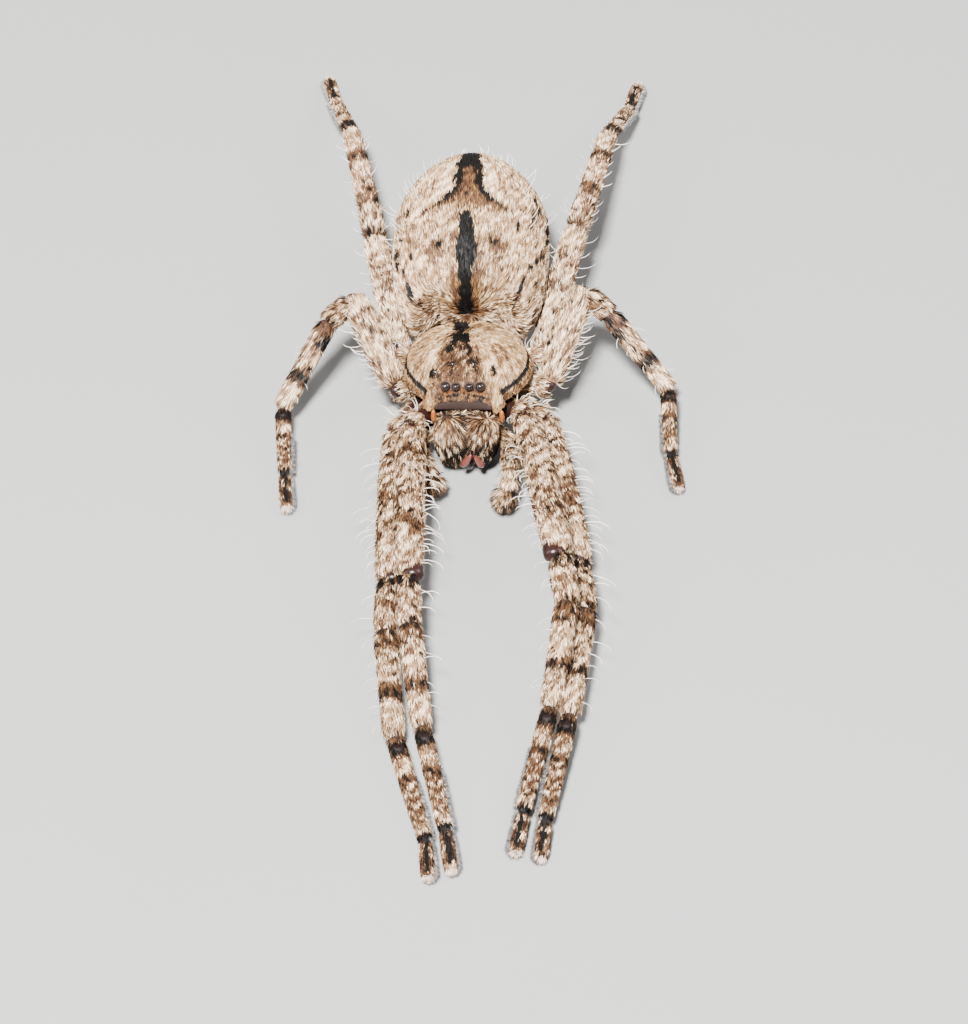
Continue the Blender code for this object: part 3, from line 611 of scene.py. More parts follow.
def carapace_lie(s, turn, points):
    """Away from the pit in the middle, and on over the face."""
    x, y, _, under = carapace_flat(s, turn)
    way = np.stack((x, y - PIT[0], np.zeros_like(x)), axis=-1)
    way[:, 1] -= 0.8 * rise(-y, 0.0, 3.0)
    way[:, 2] -= 1.5 * rise(-y, 3.9, 4.4) + 2.0 * under
    return unit(way)


# Marks of the carapace where they stand in the picture: across, down, half-width, half-length and lean
BLOTS = (
    (464.6, 325.5, 5.8, 4.5, 0), (463.0, 336.0, 7.0, 3.6, 0), (458.0, 339.0, 3.0, 3.6, 30),
    (468.5, 338.5, 3.0, 3.6, -30),
)
BLOT_JOINS = ((464.0, 331.0, 3.5, 4.0, 0), (452.5, 347.5, 2.2, 4.5, 15), (470.5, 348.0, 2.2, 4.5, -10))
# Painted shadow round the rear middle and rear outer eyes, where hair shades them: black patches, given as
# the marks above are
REAR_EYE_SHADOWS = (
    (451.9, 361.5, 3.6, 1.6, -12), (472.3, 360.5, 3.6, 1.6, 12), (434.0, 372.0, 2.6, 5.0, 10),
    (491.5, 367.0, 1.8, 4.8, -10),
)


def eye_rings(x, y, up):
    """How far points of the carapace are from the nearest eye, as a share of its half-width."""
    near = np.full_like(x, 9.0)
    for across, along, eye_up, half in EYES.values():
        reach = half if along < FRONT_ROW else half * 0.6
        off = (np.abs(x) - across) ** 2 + (y - along) ** 2 + (up - eye_up) ** 2
        near = np.minimum(near, np.sqrt(off) / reach)
    return near


def carapace_marks(s, degrees, points):
    """Golden sides, a dark double blot behind, a grey-brown head, painted shadow by the rear eyes and a black
    painted shadow line over a tan rim.
    """
    x, y, up, under = carapace_flat(s, degrees / 360)
    fine, middle = mottle(points, 0.4, 13), mottle(points, 0.8, 27)
    fan = np.stack((np.arctan2(x, y - PIT[0]) * 3.2, 0.25 * np.hypot(x, y), 0 * x), axis=-1)
    ray = mottle(fan, 0.5, 34)
    jag = points + 0.22 * np.stack((fine, middle, 0 * x), axis=-1)
    blot = np.clip(blots(jag, BLOTS) + 0.5 * blots(jag, BLOT_JOINS), 0, 1)

    margin = np.hypot(np.abs(x) - smooth(MARGIN, y), up * 0.8)
    flank = band(y, -3.4, 3.0, 0.6)
    # Painted shadow: a black line 0.34 to 0.7 mm inside the margin along the flanks, with thinner hair over
    # it
    line = band(margin, 0.34, 0.7, 0.05) * flank * (under < 0.05)
    rim = np.maximum(1 - rise(margin, 0.22, 0.34), under > 0) * (1 - rise(under, 0.7, 0.9))
    edge = 1 - 0.5 * band(margin, 0.3, 0.95, 0.1) * flank

    wide = np.abs(x + 0.3)
    mask_half = 0.35 + 0.42 * np.clip(-y - 0.4, 0, 3)
    mask = band(y, -3.4, -0.4, 0.6) * (1 - rise(wide, mask_half, mask_half + 0.8))
    brow = spot(wide, mask_half + 1.05, 0.45) * band(y, -2.7, -0.4, 0.5)
    near = eye_rings(x, y, up)
    ring = 1 - rise(near, 1.3, 1.9)
    lid = (1 - rise(near, 1.6, 2.6)) * band(y, -2.75, -1.9, 0.15)
    clypeus = rise(-y, 3.75, 4.0) * (1 - rise(np.abs(x), 1.3, 2.2)) * (1 - 0.5 * ring)
    corner = rise(-y, 3.3, 3.7) * rise(np.abs(x + 0.1), 2.1, 2.4)
    front = rise(-y, 3.0, 3.5) * (1 - corner)
    bar = rise(-y, 4.31, 4.37) * (1 - rise(np.abs(x), 2.0, 2.15)) * (1 - rise(under, 0.6, 0.7))

    # Painted shadow: the margin's line and the patches round the rear eyes are added to the black
    black = 1.2 * blot + 1.4 * line + 1.2 * blots(points, REAR_EYE_SHADOWS) + 0.8 * clypeus * rise(fine, 0.5, 0.8)
    brown = 0.27 + 0.32 * rise(ray, 0.5, 1.0) + 0.55 * mask * (0.4 + 0.7 * middle) + 0.2 * clypeus + 0.3 * rim
    brown = brown + 0.3 * front * (0.4 + fine) - 0.3 * brow - 0.9 * corner
    gold = 0.68 + 0.3 * ray - 0.3 * mask + 0.5 * ring + clypeus * (0.25 + 0.2 * middle) + 0.3 * rim
    gold = gold + 0.2 * front - 0.35 * brow
    reach = (1 - 0.4 * rise(-y, 2.4, 3.4)) * edge * (1 + 1.5 * corner + 0.5 * lid)
    cover = rise(near, 0.95, 1.1) * (1 - rise(under, 0.55, 0.75)) * (1 - 0.4 * line)
    return {
        "brown": np.where(bar > 0.5, 1.0, brown * (1 - 0.5 * ring)),
        "gold": np.clip(gold, 0, 2),
        "black": np.where(bar > 0.5, 0.4 * fine, 0.05 + black + 0.5 * mask * middle),
        "cover": cover * (1 - bar) * (1 + 0.3 * corner),
        "reach": reach * (1 - 0.35 * ring) * (1 - 0.35 * rim) * (1 - 0.25 * clypeus),
        "bare": bar,
        "lift": 1 + 1.2 * clypeus + corner + 2.5 * lid,
    }


def superellipse(t, power):
    return np.maximum(0.0, 1 - np.abs(t) ** power) ** (1 / power)


def abdomen_place(s, turn):
    t = -np.cos(np.pi * np.clip(s, 0, 1))
    angle = 2 * np.pi * turn
    half = ABDOMEN_LENGTH / 2
    middle = CARAPACE_LENGTH / 2 + JOINT_GAP + half
    wide, high = (
        np.where(t < 0, superellipse(t, before), superellipse(t, behind))
        for before, behind in zip(ABDOMEN_FRONT, ABDOMEN_REAR)
    )
    share = np.where(np.sin(angle) > 0, 0.53, 0.47)
    width = np.maximum(ABDOMEN_WIDTH / 2 * wide - COAT_DEPTH, 0)
    height = np.maximum(ABDOMEN_HEIGHT * share * high - COAT_DEPTH, 0)
    forward, first, last = SHOULDER
    forward = forward * rise(np.abs(width * np.cos(angle)), first, last) * rise(-t, 0.2, 0.95)
    along, up = middle + half * t - forward, ABDOMEN_LEVEL + height * np.sin(angle)
    return turned(np.stack((width * np.cos(angle), along, up), axis=-1), "Z", ABDOMEN_TURN)


def abdomen_lie(s, turn, points):
    """Away from the middle of the front, over the shoulders and on to the rear."""
    return unit(abdomen_place(s + 0.02, turn) - abdomen_place(s - 0.02, turn))


# Half-widths along the abdomen's back, by share of the way over it from front to rear
STRIPE = (
    (0.0, 0.3), (0.05, 0.33), (0.1, 0.36), (0.144, 0.4), (0.2, 0.48), (0.25, 0.6), (0.295, 0.66),
    (0.333, 0.58), (0.369, 0.43), (0.403, 0.33), (0.436, 0.28), (0.46, 0.26),
)
WEDGE = (
    (0.43, 3.4), (0.47, 2.75), (0.488, 1.95), (0.508, 1.45), (0.543, 0.86), (0.585, 0.72), (0.64, 0.74),
    (0.7, 0.72), (0.75, 0.55), (1.0, 0.35),
)


# Dark dashes of the abdomen's flanks, as the marks of the carapace are given
DASHES = (
    (397.2, 263.0, 1.3, 9.0, -8), (411.0, 258.0, 1.3, 4.0, -15), (404.7, 273.5, 1.0, 3.0, 0),
    (410.5, 294.0, 1.7, 7.5, -22), (415.5, 304.0, 1.2, 3.5, -35), (422.7, 304.6, 1.2, 2.5, -40),
    (412.8, 228.3, 1.0, 3.0, 0), (401.0, 240.0, 0.9, 3.0, -5), (407.0, 213.0, 1.0, 3.0, 10),
    (517.5, 228.3, 1.1, 5.0, 0), (532.8, 220.2, 1.2, 6.0, 5), (538.1, 205.0, 1.2, 7.0, -20),
    (547.3, 229.0, 0.9, 15.0, 3), (541.0, 257.0, 1.5, 4.0, 8), (535.4, 264.0, 1.5, 4.0, 12),
    (529.5, 270.5, 1.3, 3.5, 15), (521.5, 284.5, 1.4, 5.0, 20), (518.5, 293.0, 1.2, 3.5, 25),
    (513.5, 301.0, 1.3, 4.0, 30), (528.5, 323.0, 1.0, 8.0, 14), (500.5, 262.0, 0.9, 2.5, 10),
)


def abdomen_marks(s, degrees, points):
    """A black stripe from the front, a tan wedge edged with black behind it, and pale lobes beside that."""
    t = -np.cos(np.pi * s)
    lift = np.sin(np.radians(degrees))
    top = rise(lift, 0.1, 0.4)
    middle = smooth(((0.0, -0.2), (0.25, -0.28), (0.45, -0.31), (0.7, -0.2), (1.0, -0.12)), s)
    tiny, fine, patch = mottle(points, 0.45, 28), mottle(points, 0.8, 15), mottle(points, 1.6, 16)
    broad = mottle(points, 4.2, 17)
    x = points[:, 0] + points[:, 1] * math.sin(math.radians(ABDOMEN_TURN)) - middle + 0.16 * (fine - 0.5)
    wide = np.abs(x) + 0.14 * (tiny - 0.5)
    stripe_half = smooth(STRIPE, s)
    stripe = (1 - rise(wide, stripe_half - 0.04, stripe_half + 0.14)) * (s < 0.443)
    wedge_half = smooth(WEDGE, s)
    wedge = (1 - rise(wide, wedge_half - 0.15, wedge_half + 0.1)) * rise(s, 0.44, 0.5)
    steep = rise(s, 0.49, 0.55)
    edge = spot(wide, wedge_half + 0.02 * steep, 0.42 - 0.14 * steep) * band(s, 0.455, 0.68, 0.02)
    edge = edge * (0.7 + 0.9 * rise(fine, 0.3, 0.8) + 0.2 * steep)
    tip = rise(s, 0.64, 0.67) * (1 - rise(wide, 0.62, 0.9))
    lobes = band(wide, wedge_half + 0.25, wedge_half + 1.0 + 0.5 * patch, 0.15) * band(s, 0.46, 0.66, 0.03)
    dots = spot(s, 0.311, 0.017) * spot(wide, 1.95, 0.3)
    smudge = spot(s, 0.3, 0.045) * spot(wide, 2.1, 0.6)
    smudge = smudge + 0.45 * spot(wide, 0.85, 0.3) * band(s, 0.12, 0.43, 0.06)
    flame = (1 - rise(s, 0.08, 0.2)) * (1 - rise(wide, 0.6, 1.2))
    dashes = blots(points + 0.12 * (fine - 0.5)[:, None], DASHES, 1.35) * (lift > -0.1)
    flecks = 0.6 * rise(fine * tiny, 0.76, 0.92) * (lift > -0.3) * (1 - lobes)
    arms = edge * rise(wide, 1.4, 2.6)
    brown = 0.29 + 0.1 * rise(fine, 0.5, 0.95) + 0.1 * rise(broad, 0.3, 0.9) * top
    brown = brown + 0.45 * wedge * (0.7 + tiny) + 0.6 * smudge + 0.3 * dashes
    brown = brown - 0.7 * lobes + 0.35 * flame + 0.8 * arms
    gold = np.clip(0.8 * wedge + 0.4 * smudge + 0.7 * flame + 0.36 + 0.12 * patch - 0.4 * lobes, 0, 1.4)
    black = np.clip(1.3 * stripe + 1.3 * (edge - 0.7 * arms) + 1.3 * tip + 1.2 * dots, 0, 1.3)
    black = black + 0.25 * wedge * rise(tiny, 0.5, 0.9)
    black = 0.03 + top * black + 0.95 * dashes + flecks
    return {"brown": brown, "gold": top * gold, "black": black, "reach": 0.9}


# Marks of the jaws in the picture: white patches and the parting over the red lobes, given as the marks of
# the carapace are, and how far down the golden hair ends and the dark hair starts
JAW_WHITES = ((440, 434, 8, 9, 0), (497, 428, 6, 10, 0))
JAW_PARTING = ((473.5, 459, 10, 10, 0),)
JAW_GOLD_ENDS = (426, 436)
JAW_DARK_STARTS = (434, 446)


def chelicera_sheet(side_name):
    """A jaw in streaky hair: white and golden brown above, nearly black below, thin over the red lobes."""
    side = SIDES[side_name]
    last = len(CHELICERA) - 1
    columns = [[(i, row[c]) for i, row in enumerate(CHELICERA)] for c in range(4)]
    middle = side * CHELICERA_OFFSET + CHELICERA_SHIFT

    def place_at(s, turn):
        u = np.clip(s, 0, 1) * last
        y, z, half, deep = (smooth(column, u) for column in columns)
        before, after = np.maximum(u - 0.05, 0), np.minimum(u + 0.05, last)
        dy, dz = (smooth(column, after) - smooth(column, before) for column in columns[:2])
        run = np.hypot(dy, dz)
        ahead_y, ahead_z = dz / run, -dy / run
        cap = np.sqrt(np.maximum(1 - (1 - np.clip(s / 0.08, 0, 1)) ** 2, 0))
        cap = cap * np.sqrt(np.maximum(1 - (1 - np.clip((1 - s) / 0.1, 0, 1)) ** 2, 0))
        c, sine = np.cos(2 * np.pi * turn), np.sin(2 * np.pi * turn)
        half, deep = (half - COAT_DEPTH) * cap, (deep - COAT_DEPTH) * cap
        points = (middle + c * half, y + ahead_y * sine * deep, z + ahead_z * sine * deep)
        return turned(np.stack(points, axis=-1), "Z", HEAD_TURN)

    def lie(s, turn, points):
        inward = -side * 0.1 - (points[:, 0] - middle) * (0.15 - 0.8 * rise(s, 0.5, 0.85))
        return unit(np.stack((inward, np.full_like(inward, -0.12), np.full_like(inward, -1.0)), axis=-1))

    def marks(s, degrees, points):
        combed = points * (1, 1, 0.22)
        streak, patch = rise(mottle(combed, 0.24, 20), 0.8, 0.9), mottle(combed, 1.0, 21)
        down = seen(points)[1]
        upper = 1 - rise(down, *JAW_GOLD_ENDS)
        lower = rise(down, *JAW_DARK_STARTS)
        white = 0.75 * blots(points, JAW_WHITES)
        foot = rise(s, 0.78, 0.92)
        lobes = blots(points, JAW_PARTING)
        beside = np.clip(side * np.cos(np.radians(degrees)), 0, 1)
        inner = np.clip(-side * np.cos(np.radians(degrees)), 0, 1)
        pale = np.maximum(streak, white * 0.9)
        brown = (1.1 - 0.35 * upper) * (1 - 0.95 * pale) + 0.05
        black = (0.25 + 0.35 * patch + 0.55 * lower) * (1 - pale)
        reach = 1.2 - 0.45 * beside + 0.3 * inner + (0.3 + 0.8 * beside) * foot
        return {
            "brown": brown, "gold": 1.2 * upper * (1 - 0.8 * pale), "black": black, "thin": 0.6,
            "cover": 1.25 * (1 - 0.85 * lobes), "reach": reach * (1 - 0.3 * lobes),
            "lift": 0.85 - 0.6 * beside + 0.9 * inner,
        }

    return Sheet(f"chelicera_{side_name}", place_at, lie, marks, 34, 40)


def sternum_place(s, turn):
    """The shield between the legs' roots, from its hidden top to its underside."""
    half_shape = ((-2.3, 1.15), (-1.9, 1.6), (-0.6, 2.2), (1.0, 2.1), (2.2, 1.45), (3.0, 0.5))
    angle = 2 * np.pi * turn
    along = 0.35 - np.cos(angle) * 2.65
    across = np.sign(np.sin(angle)) * smooth(half_shape, along) * (np.abs(np.sin(angle)) > 0.01)
    share = smooth(((0.0, 0.0), (0.15, 0.98), (0.5, 0.98), (0.75, 0.84), (1.0, 0.0)), s)
    up = smooth(((0.0, -0.7), (0.15, -0.75), (0.5, -2.15), (0.75, -2.65), (1.0, -2.85)), s)
    return head(np.stack((across * share, 0.35 + (along - 0.35) * share, up), axis=-1))


def backward_lie(s, turn, points):
    return np.broadcast_to(np.array((0.0, 1.0, -0.1)), points.shape)


def plain_marks(s, degrees, points):
    return {"brown": 0.35 + 0.3 * mottle(points, 1.0, 22)}


# The way that the spinnerets point, and the lift, length and half-width of the two on each side
SPINNERET_WAY = np.array((0.0, 0.74, -0.67))
SPINNERETS = ((0.22, 1.1, 0.34), (-0.28, 0.75, 0.29))
BASE_SHAPE = ((0.0, 0.95), (0.6, 1.0), (1.0, 0.8))
CONE_SHAPE = ((0.0, 1.0), (0.7, 0.85), (1.0, 0.6))


def spinneret_sheets():
    way = SPINNERET_WAY
    root = abdomen_place(np.array([0.83]), np.array([0.75]))[0] + way * JOINT_GAP
    base = Limb(root - way * 0.4, root + way * 0.7, 0.8, BASE_SHAPE, 1, flatness=0.9)
    sheets = [Sheet("spinneret_base", base.place, base.lie, plain_marks, 10, 20)]
    for side in SIDES.values():
        for lift, length, half in SPINNERETS:
            start = root + way * 0.35 + np.array((side * 0.36, lift * 0.67, lift * 0.74))
            end = start + (way + np.array((side * 0.12, 0.35, 0.1))) * length
            cone = Limb(start, end, half + 0.05, CONE_SHAPE, 1, caps=(0.2, 0.2))
            sheets.append(Sheet(f"spinneret_{side}_{half}", cone.place, cone.lie, plain_marks, 10, 14))
    return sheets


def rim_marks(s, degrees, points):
    return {"bare": 0.5, "gold": 1.0, "brown": 0.9, "cover": 0.0}


# The section of the ring round a lens, as shares of the lens's half-width: out from its axis, and up
RIM_REACH = ((0.0, 0.0), (0.3, 1.32), (0.6, 1.12), (0.8, 0.9), (1.0, 0.0))
RIM_UP = ((0.0, -0.9), (0.3, -0.3), (0.6, 0.18), (0.8, 0.1), (1.0, -0.1))
SLOPE_STEP = 0.05


def carapace_normal(x, y):
    """The way straight out of the carapace at one place, in its own frame."""
    step = SLOPE_STEP
    rise_x = carapace_height(np.array(x + step), y) - carapace_height(np.array(x - step), y)
    rise_y = carapace_height(np.array(x), y + step) - carapace_height(np.array(x), y - step)
    return unit(np.array((-float(rise_x) / (2 * step), -float(rise_y) / (2 * step), 1.0)))


def rim_sheet(name, centre, out, half):
    """A thin raised ring of skin round one lens."""
    first = unit(np.cross(out, (0.0, 0.0, 1.0)) + np.array((1e-6, 0, 0)))
    second = np.cross(out, first)

    def place_at(s, turn):
        angle = 2 * np.pi * turn[..., None]
        ring = np.cos(angle) * first + np.sin(angle) * second
        reach, up = (smooth(shape, s)[..., None] for shape in (RIM_REACH, RIM_UP))
        return head(centre + ring * reach * half + out * up * half)

    return Sheet(name, place_at, backward_lie, rim_marks, 14, 24)


def eye_rims():
    sheets = []
    for row, (across, along, up, half) in EYES.items():
        for side_name, side in SIDES.items():
            out = carapace_normal(side * across, along)
            centre = np.array((side * across, along, up)) - out * half * 0.2
            sheets.append(rim_sheet(f"rim_{row}_{side_name}", centre, out, half))
    return sheets


def sheets_of_body():
    """The sheets of the trunk, by the coat that they carry."""
    pedicel = Limb((0, 3.4, 3.0), (-0.08, 4.95, 3.6), 0.45, ((0.0, 0.9), (1.0, 0.9)), 1, flatness=0.9)
    return {
        "carapace": [Sheet("carapace", carapace_place, carapace_lie, carapace_marks, 110, 200)],
        "abdomen": [Sheet("abdomen", abdomen_place, abdomen_lie, abdomen_marks, 90, 110)],
        "face": [chelicera_sheet(side) for side in SIDES] + [s for side in SIDES for s in palp_sheets(side)],
        "underside": [
            Sheet("sternum", sternum_place, backward_lie, plain_marks, 24, 30),
            Sheet("pedicel", pedicel.place, pedicel.lie, bare_marks, 8, 14),
        ] + spinneret_sheets(),
        "rims": eye_rims(),
    }


def sheets_of_legs():
    return {(side, pair): leg_sheets(side, pair) for side in SIDES for pair in LEG_LENGTHS}


def clumps(points, lie):
    """Two values from 0 to 1 that neighbouring hairs share, in patches that are longer along their lie."""
    comb = unit(lie.mean(axis=0))
    points = points - 0.55 * (points @ comb)[:, None] * comb
    return mottle(points, 0.8, 31), mottle(points, 0.42, 33)


def set_attribute(mesh, name, values, kind="FLOAT"):
    attribute = mesh.attributes.new(name, kind, "POINT")
    key = "vector" if kind == "FLOAT_VECTOR" else "value"
    attribute.data.foreach_set(key, np.ascontiguousarray(values, np.float32).ravel())


def add_object(name, points, faces, material=None):
    """A mesh object in the frame's metres, with its place in its mesh."""
    mesh = bpy.data.meshes.new(name)
    mesh.from_pydata(on_frame(points).tolist(), [], faces)
    mesh.validate()
    if faces:
        mesh.shade_smooth()
    if material:
        mesh.materials.append(material)
    made = bpy.data.objects.new(name, mesh)
    bpy.context.scene.collection.objects.link(made)
    return made


def joined(sheets):
    """Points, faces and marks of the closed meshes of several sheets, as one."""
    points, faces, marks, first = [], [], [], 0
    for sheet in sheets:
        found, loops, pattern = sheet.shell()
        points.append(found)
        faces.extend([first + v for v in loop] for loop in loops)
        marks.append(pattern)
        first += len(found)
    return np.concatenate(points), faces, {k: np.concatenate([m[k] for m in marks]) for k in MARK_NAMES}


class Graph:
    """A node tree that is filled by short calls."""

    def __init__(self, tree):
        self.tree = tree

    def node(self, kind, settings=None, **values):
        """Adds a node: settings are its own properties, values its sockets by name with _ for spaces."""
        made = self.tree.nodes.new(kind)
        for key, value in (settings or {}).items():
            setattr(made, key, value)
        for key, value in values.items():
            wanted = key.replace("_", " ").lower()
            socket = next(s for s in made.inputs if s.enabled and s.name.lower() == wanted)
            self.feed(socket, value)
        return made

    def feed(self, socket, value):
        if isinstance(value, Value):
            self.tree.links.new(value.socket, socket)
        elif isinstance(value, bpy.types.NodeSocket):
            self.tree.links.new(value, socket)
        else:
            socket.default_value = value

    def out(self, kind, settings=None, **values):
        """The first enabled output of a new node, ready for arithmetic."""
        made = self.node(kind, settings, **values)
        return Value(self, next(s for s in made.outputs if s.enabled))

    def mix(self, low, high, factor, blend="MIX"):
        """A colour between two colours, or the first one changed by the second."""
        made = self.tree.nodes.new("ShaderNodeMix")
        made.data_type, made.blend_type = "RGBA", blend
        sockets = {s.name: s for s in made.inputs if s.enabled}
        for name, value in (("Factor", factor), ("A", low), ("B", high)):
            self.feed(sockets[name], (*value, 1.0) if isinstance(value, tuple) and len(value) == 3 else value)
        return Value(self, next(s for s in made.outputs if s.enabled))

    def attribute(self, name, output="Fac"):
        made = self.node("ShaderNodeAttribute", {"attribute_name": name})
        return Value(self, made.outputs[output])


class Value:
    """An output of a node, on which arithmetic adds Math nodes."""

    def __init__(self, graph, socket):
        self.graph, self.socket = graph, socket

    def maths(self, operation, *others, clamp=False):
        made = self.graph.tree.nodes.new("ShaderNodeMath")
        made.operation, made.use_clamp = operation, clamp
        for socket, value in zip(made.inputs, others):
            self.graph.feed(socket, value)
        return Value(self.graph, made.outputs[0])

    def __add__(self, other):
        return self.maths("ADD", self, other)

    def __radd__(self, other):
        return self.maths("ADD", other, self)

    def __sub__(self, other):
        return self.maths("SUBTRACT", self, other)

    def __rsub__(self, other):
        return self.maths("SUBTRACT", other, self)

    def __mul__(self, other):
        return self.maths("MULTIPLY", self, other)

    def __rmul__(self, other):
        return self.maths("MULTIPLY", other, self)

    def clamp(self):
        return self.maths("ADD", self, 0.0, clamp=True)

    def part(self):
        """What is left after the whole number, for one more random value from the same draw."""
        return self.maths("FRACT", self)


def new_material(name):
    material = bpy.data.materials.new(name)
    material.use_nodes = True
    graph = Graph(material.node_tree)
    return material, graph, material.node_tree.nodes["Principled BSDF"]


def coat_colour(graph, look, draw, shade, dark=0.0):
    """The pattern that skin and tufts share: each tuft takes the colour that its own draw falls in. Dark
    multiplies the colour by the painted shade.
    """
    brown, black, gold = (graph.attribute(name) for name in ("brown", "black", "gold"))
    pale = graph.mix(tuple(look.cream), tuple(look.beige), ((shade - 0.46) * 1.9 + 0.5).clamp())
    warm = graph.mix(tuple(look.tan), tuple(look.brown), shade)
    other = (draw * 5.3).part()
    golden = graph.mix(tuple(look.gold), tuple(look.orange), (other * 0.7 + gold - 0.9).clamp())
    pale = graph.mix(pale, golden, (gold - other * 0.35).clamp())
    colour = graph.mix(pale, warm, ((brown - draw) * 4.0 + 0.5).clamp())
    colour = graph.mix(colour, tuple(look.black), ((black - (draw * 7.3).part() * 0.8) * 5.0 + 0.3).clamp())
    # Painted shade: dark multiplies the colour by the under colour, for the shade that falls under the coat
    return graph.mix(colour, tuple(look.under), dark, "MULTIPLY")


def skin_material(look):
    """Cuticle with flat hair on it: matt, patterned and darkened by painted shade where hairy, dark red-brown
    and glossy where bare.
    """
    material, graph, shader = new_material("skin")
    place_at = graph.node("ShaderNodeTexCoord").outputs["Object"]
    fine = graph.out("ShaderNodeTexNoise", Vector=place_at, Scale=5200.0, Detail=3.0, Roughness=0.6)
    broad = graph.out("ShaderNodeTexNoise", Vector=place_at, Scale=900.0, Detail=2.0)
    draw = ((fine - 0.5) * 2.2 + 0.5).clamp()
    shade = ((broad - 0.5) * 2.0 + 0.5).clamp()
    bare = graph.attribute("bare")
    # Painted shade: the hairy skin is multiplied by the under colour with a factor of 0.9, for the shade
    # under the coat
    hairy = coat_colour(graph, look, draw, shade, 0.9)
    dark_skin = (shade + graph.attribute("black")).clamp()
    cuticle = graph.mix(tuple(look.membrane), tuple(look.membrane_dark), dark_skin)
    cuticle = graph.mix(cuticle, tuple(look.bar), ((graph.attribute("brown") - 0.6) * 3.0).clamp())
    colour = graph.mix(hairy, cuticle, bare)
    graph.feed(shader.inputs["Base Color"], colour)
    graph.feed(shader.inputs["Roughness"], 0.8 - 0.52 * bare + 0.1 * (shade - 0.5))
    shader.inputs["Specular IOR Level"].default_value = 0.25
    height = draw * (1.0 - bare) * 0.9 + broad * 0.25
    bump = graph.node("ShaderNodeBump", Strength=0.6, Distance=0.00004, Height=height)
    graph.feed(shader.inputs["Normal"], bump.outputs["Normal"])
    return material


def tuft_material(look):
    """Flat hairs: darker towards their roots with painted shade, each in one colour of the pattern under it.
    """
    material, graph, shader = new_material("tuft")
    draw, shade, tip = (graph.attribute(name) for name in ("draw", "shade", "tip"))
    colour = coat_colour(graph, look, draw, shade)
    # Painted shade: the colour is multiplied by the under colour towards the root, for the shade between the
    # tufts
    colour = graph.mix(colour, tuple(look.under), (1.0 - tip * 1.9).clamp(), "MULTIPLY")
    graph.feed(shader.inputs["Base Color"], colour)
    shader.inputs["Roughness"].default_value = 0.5
    shader.inputs["Specular IOR Level"].default_value = 0.12
    return material


def plain_material(name, light, dark, roughness, scale=2500.0, bump=0.0, coat=0.0):
    """A finish that drifts between two colours, with a slight unevenness in its gloss."""
    material, graph, shader = new_material(name)
    place_at = graph.node("ShaderNodeTexCoord").outputs["Object"]
    noise = graph.out("ShaderNodeTexNoise", Vector=place_at, Scale=scale, Detail=3.0)
    share = ((noise - 0.5) * 2.4 + 0.5).clamp()
    graph.feed(shader.inputs["Base Color"], graph.mix(tuple(light), tuple(dark), share))
    graph.feed(shader.inputs["Roughness"], roughness + 0.12 * (share - 0.5))
    shader.inputs["Coat Weight"].default_value = coat
    shader.inputs["Coat Roughness"].default_value = 0.03
    if bump:
        made = graph.node("ShaderNodeBump", Strength=bump, Distance=0.00002, Height=noise)
        graph.feed(shader.inputs["Normal"], made.outputs["Normal"])
    return material


def hair_object():
    """One flat hair, a unit long and wide, that arches over the skin: three triangles."""
    mesh = bpy.data.meshes.new("hair")
    points = ((0, -0.4, -0.04), (0, 0.4, -0.04), (0.5, 0.5, 0.06), (0.5, -0.5, 0.06), (1, 0, 0.0))
    mesh.from_pydata(points, [], [(0, 1, 2), (0, 2, 3), (3, 2, 4)])
    return finish_hair(mesh, points)


def bristle_object():
    """One round bristle, a unit long, that bends over towards its tip."""
    mesh = bpy.data.meshes.new("bristle")
    stations = ((-0.06, -0.05, 0.5), (0.22, 0.14, 0.48), (0.5, 0.25, 0.4), (0.78, 0.24, 0.28))
    points, faces = [], []
    for x, z, half in stations:
        for k in range(3):
            a = 2 * math.pi * k / 3
            points.append((x, math.cos(a) * half, z + math.sin(a) * half * 0.04))
    points.append((1.0, 0.0, 0.12))
    for ring in range(len(stations) - 1):
        low, high = ring * 3, ring * 3 + 3
        for k in range(3):
            n = (k + 1) % 3
            faces.extend([(low + k, low + n, high + n), (low + k, high + n, high + k)])
    top = 3 * (len(stations) - 1)
    faces.extend([(top + k, top + (k + 1) % 3, len(points) - 1) for k in range(3)])
    faces.append((2, 1, 0))
    mesh.from_pydata(points, [], faces)
    return finish_hair(mesh, points)


def finish_hair(mesh, points):
    mesh.shade_smooth()
    places = np.array(points, float)
    set_attribute(mesh, "tip", np.clip(places[:, 0], 0, 1))
    set_attribute(mesh, "on_hair", places * (1, 1, 0), "FLOAT_VECTOR")
    made = bpy.data.objects.new(mesh.name, mesh)
    bpy.context.scene.collection.objects.link(made)
    return made


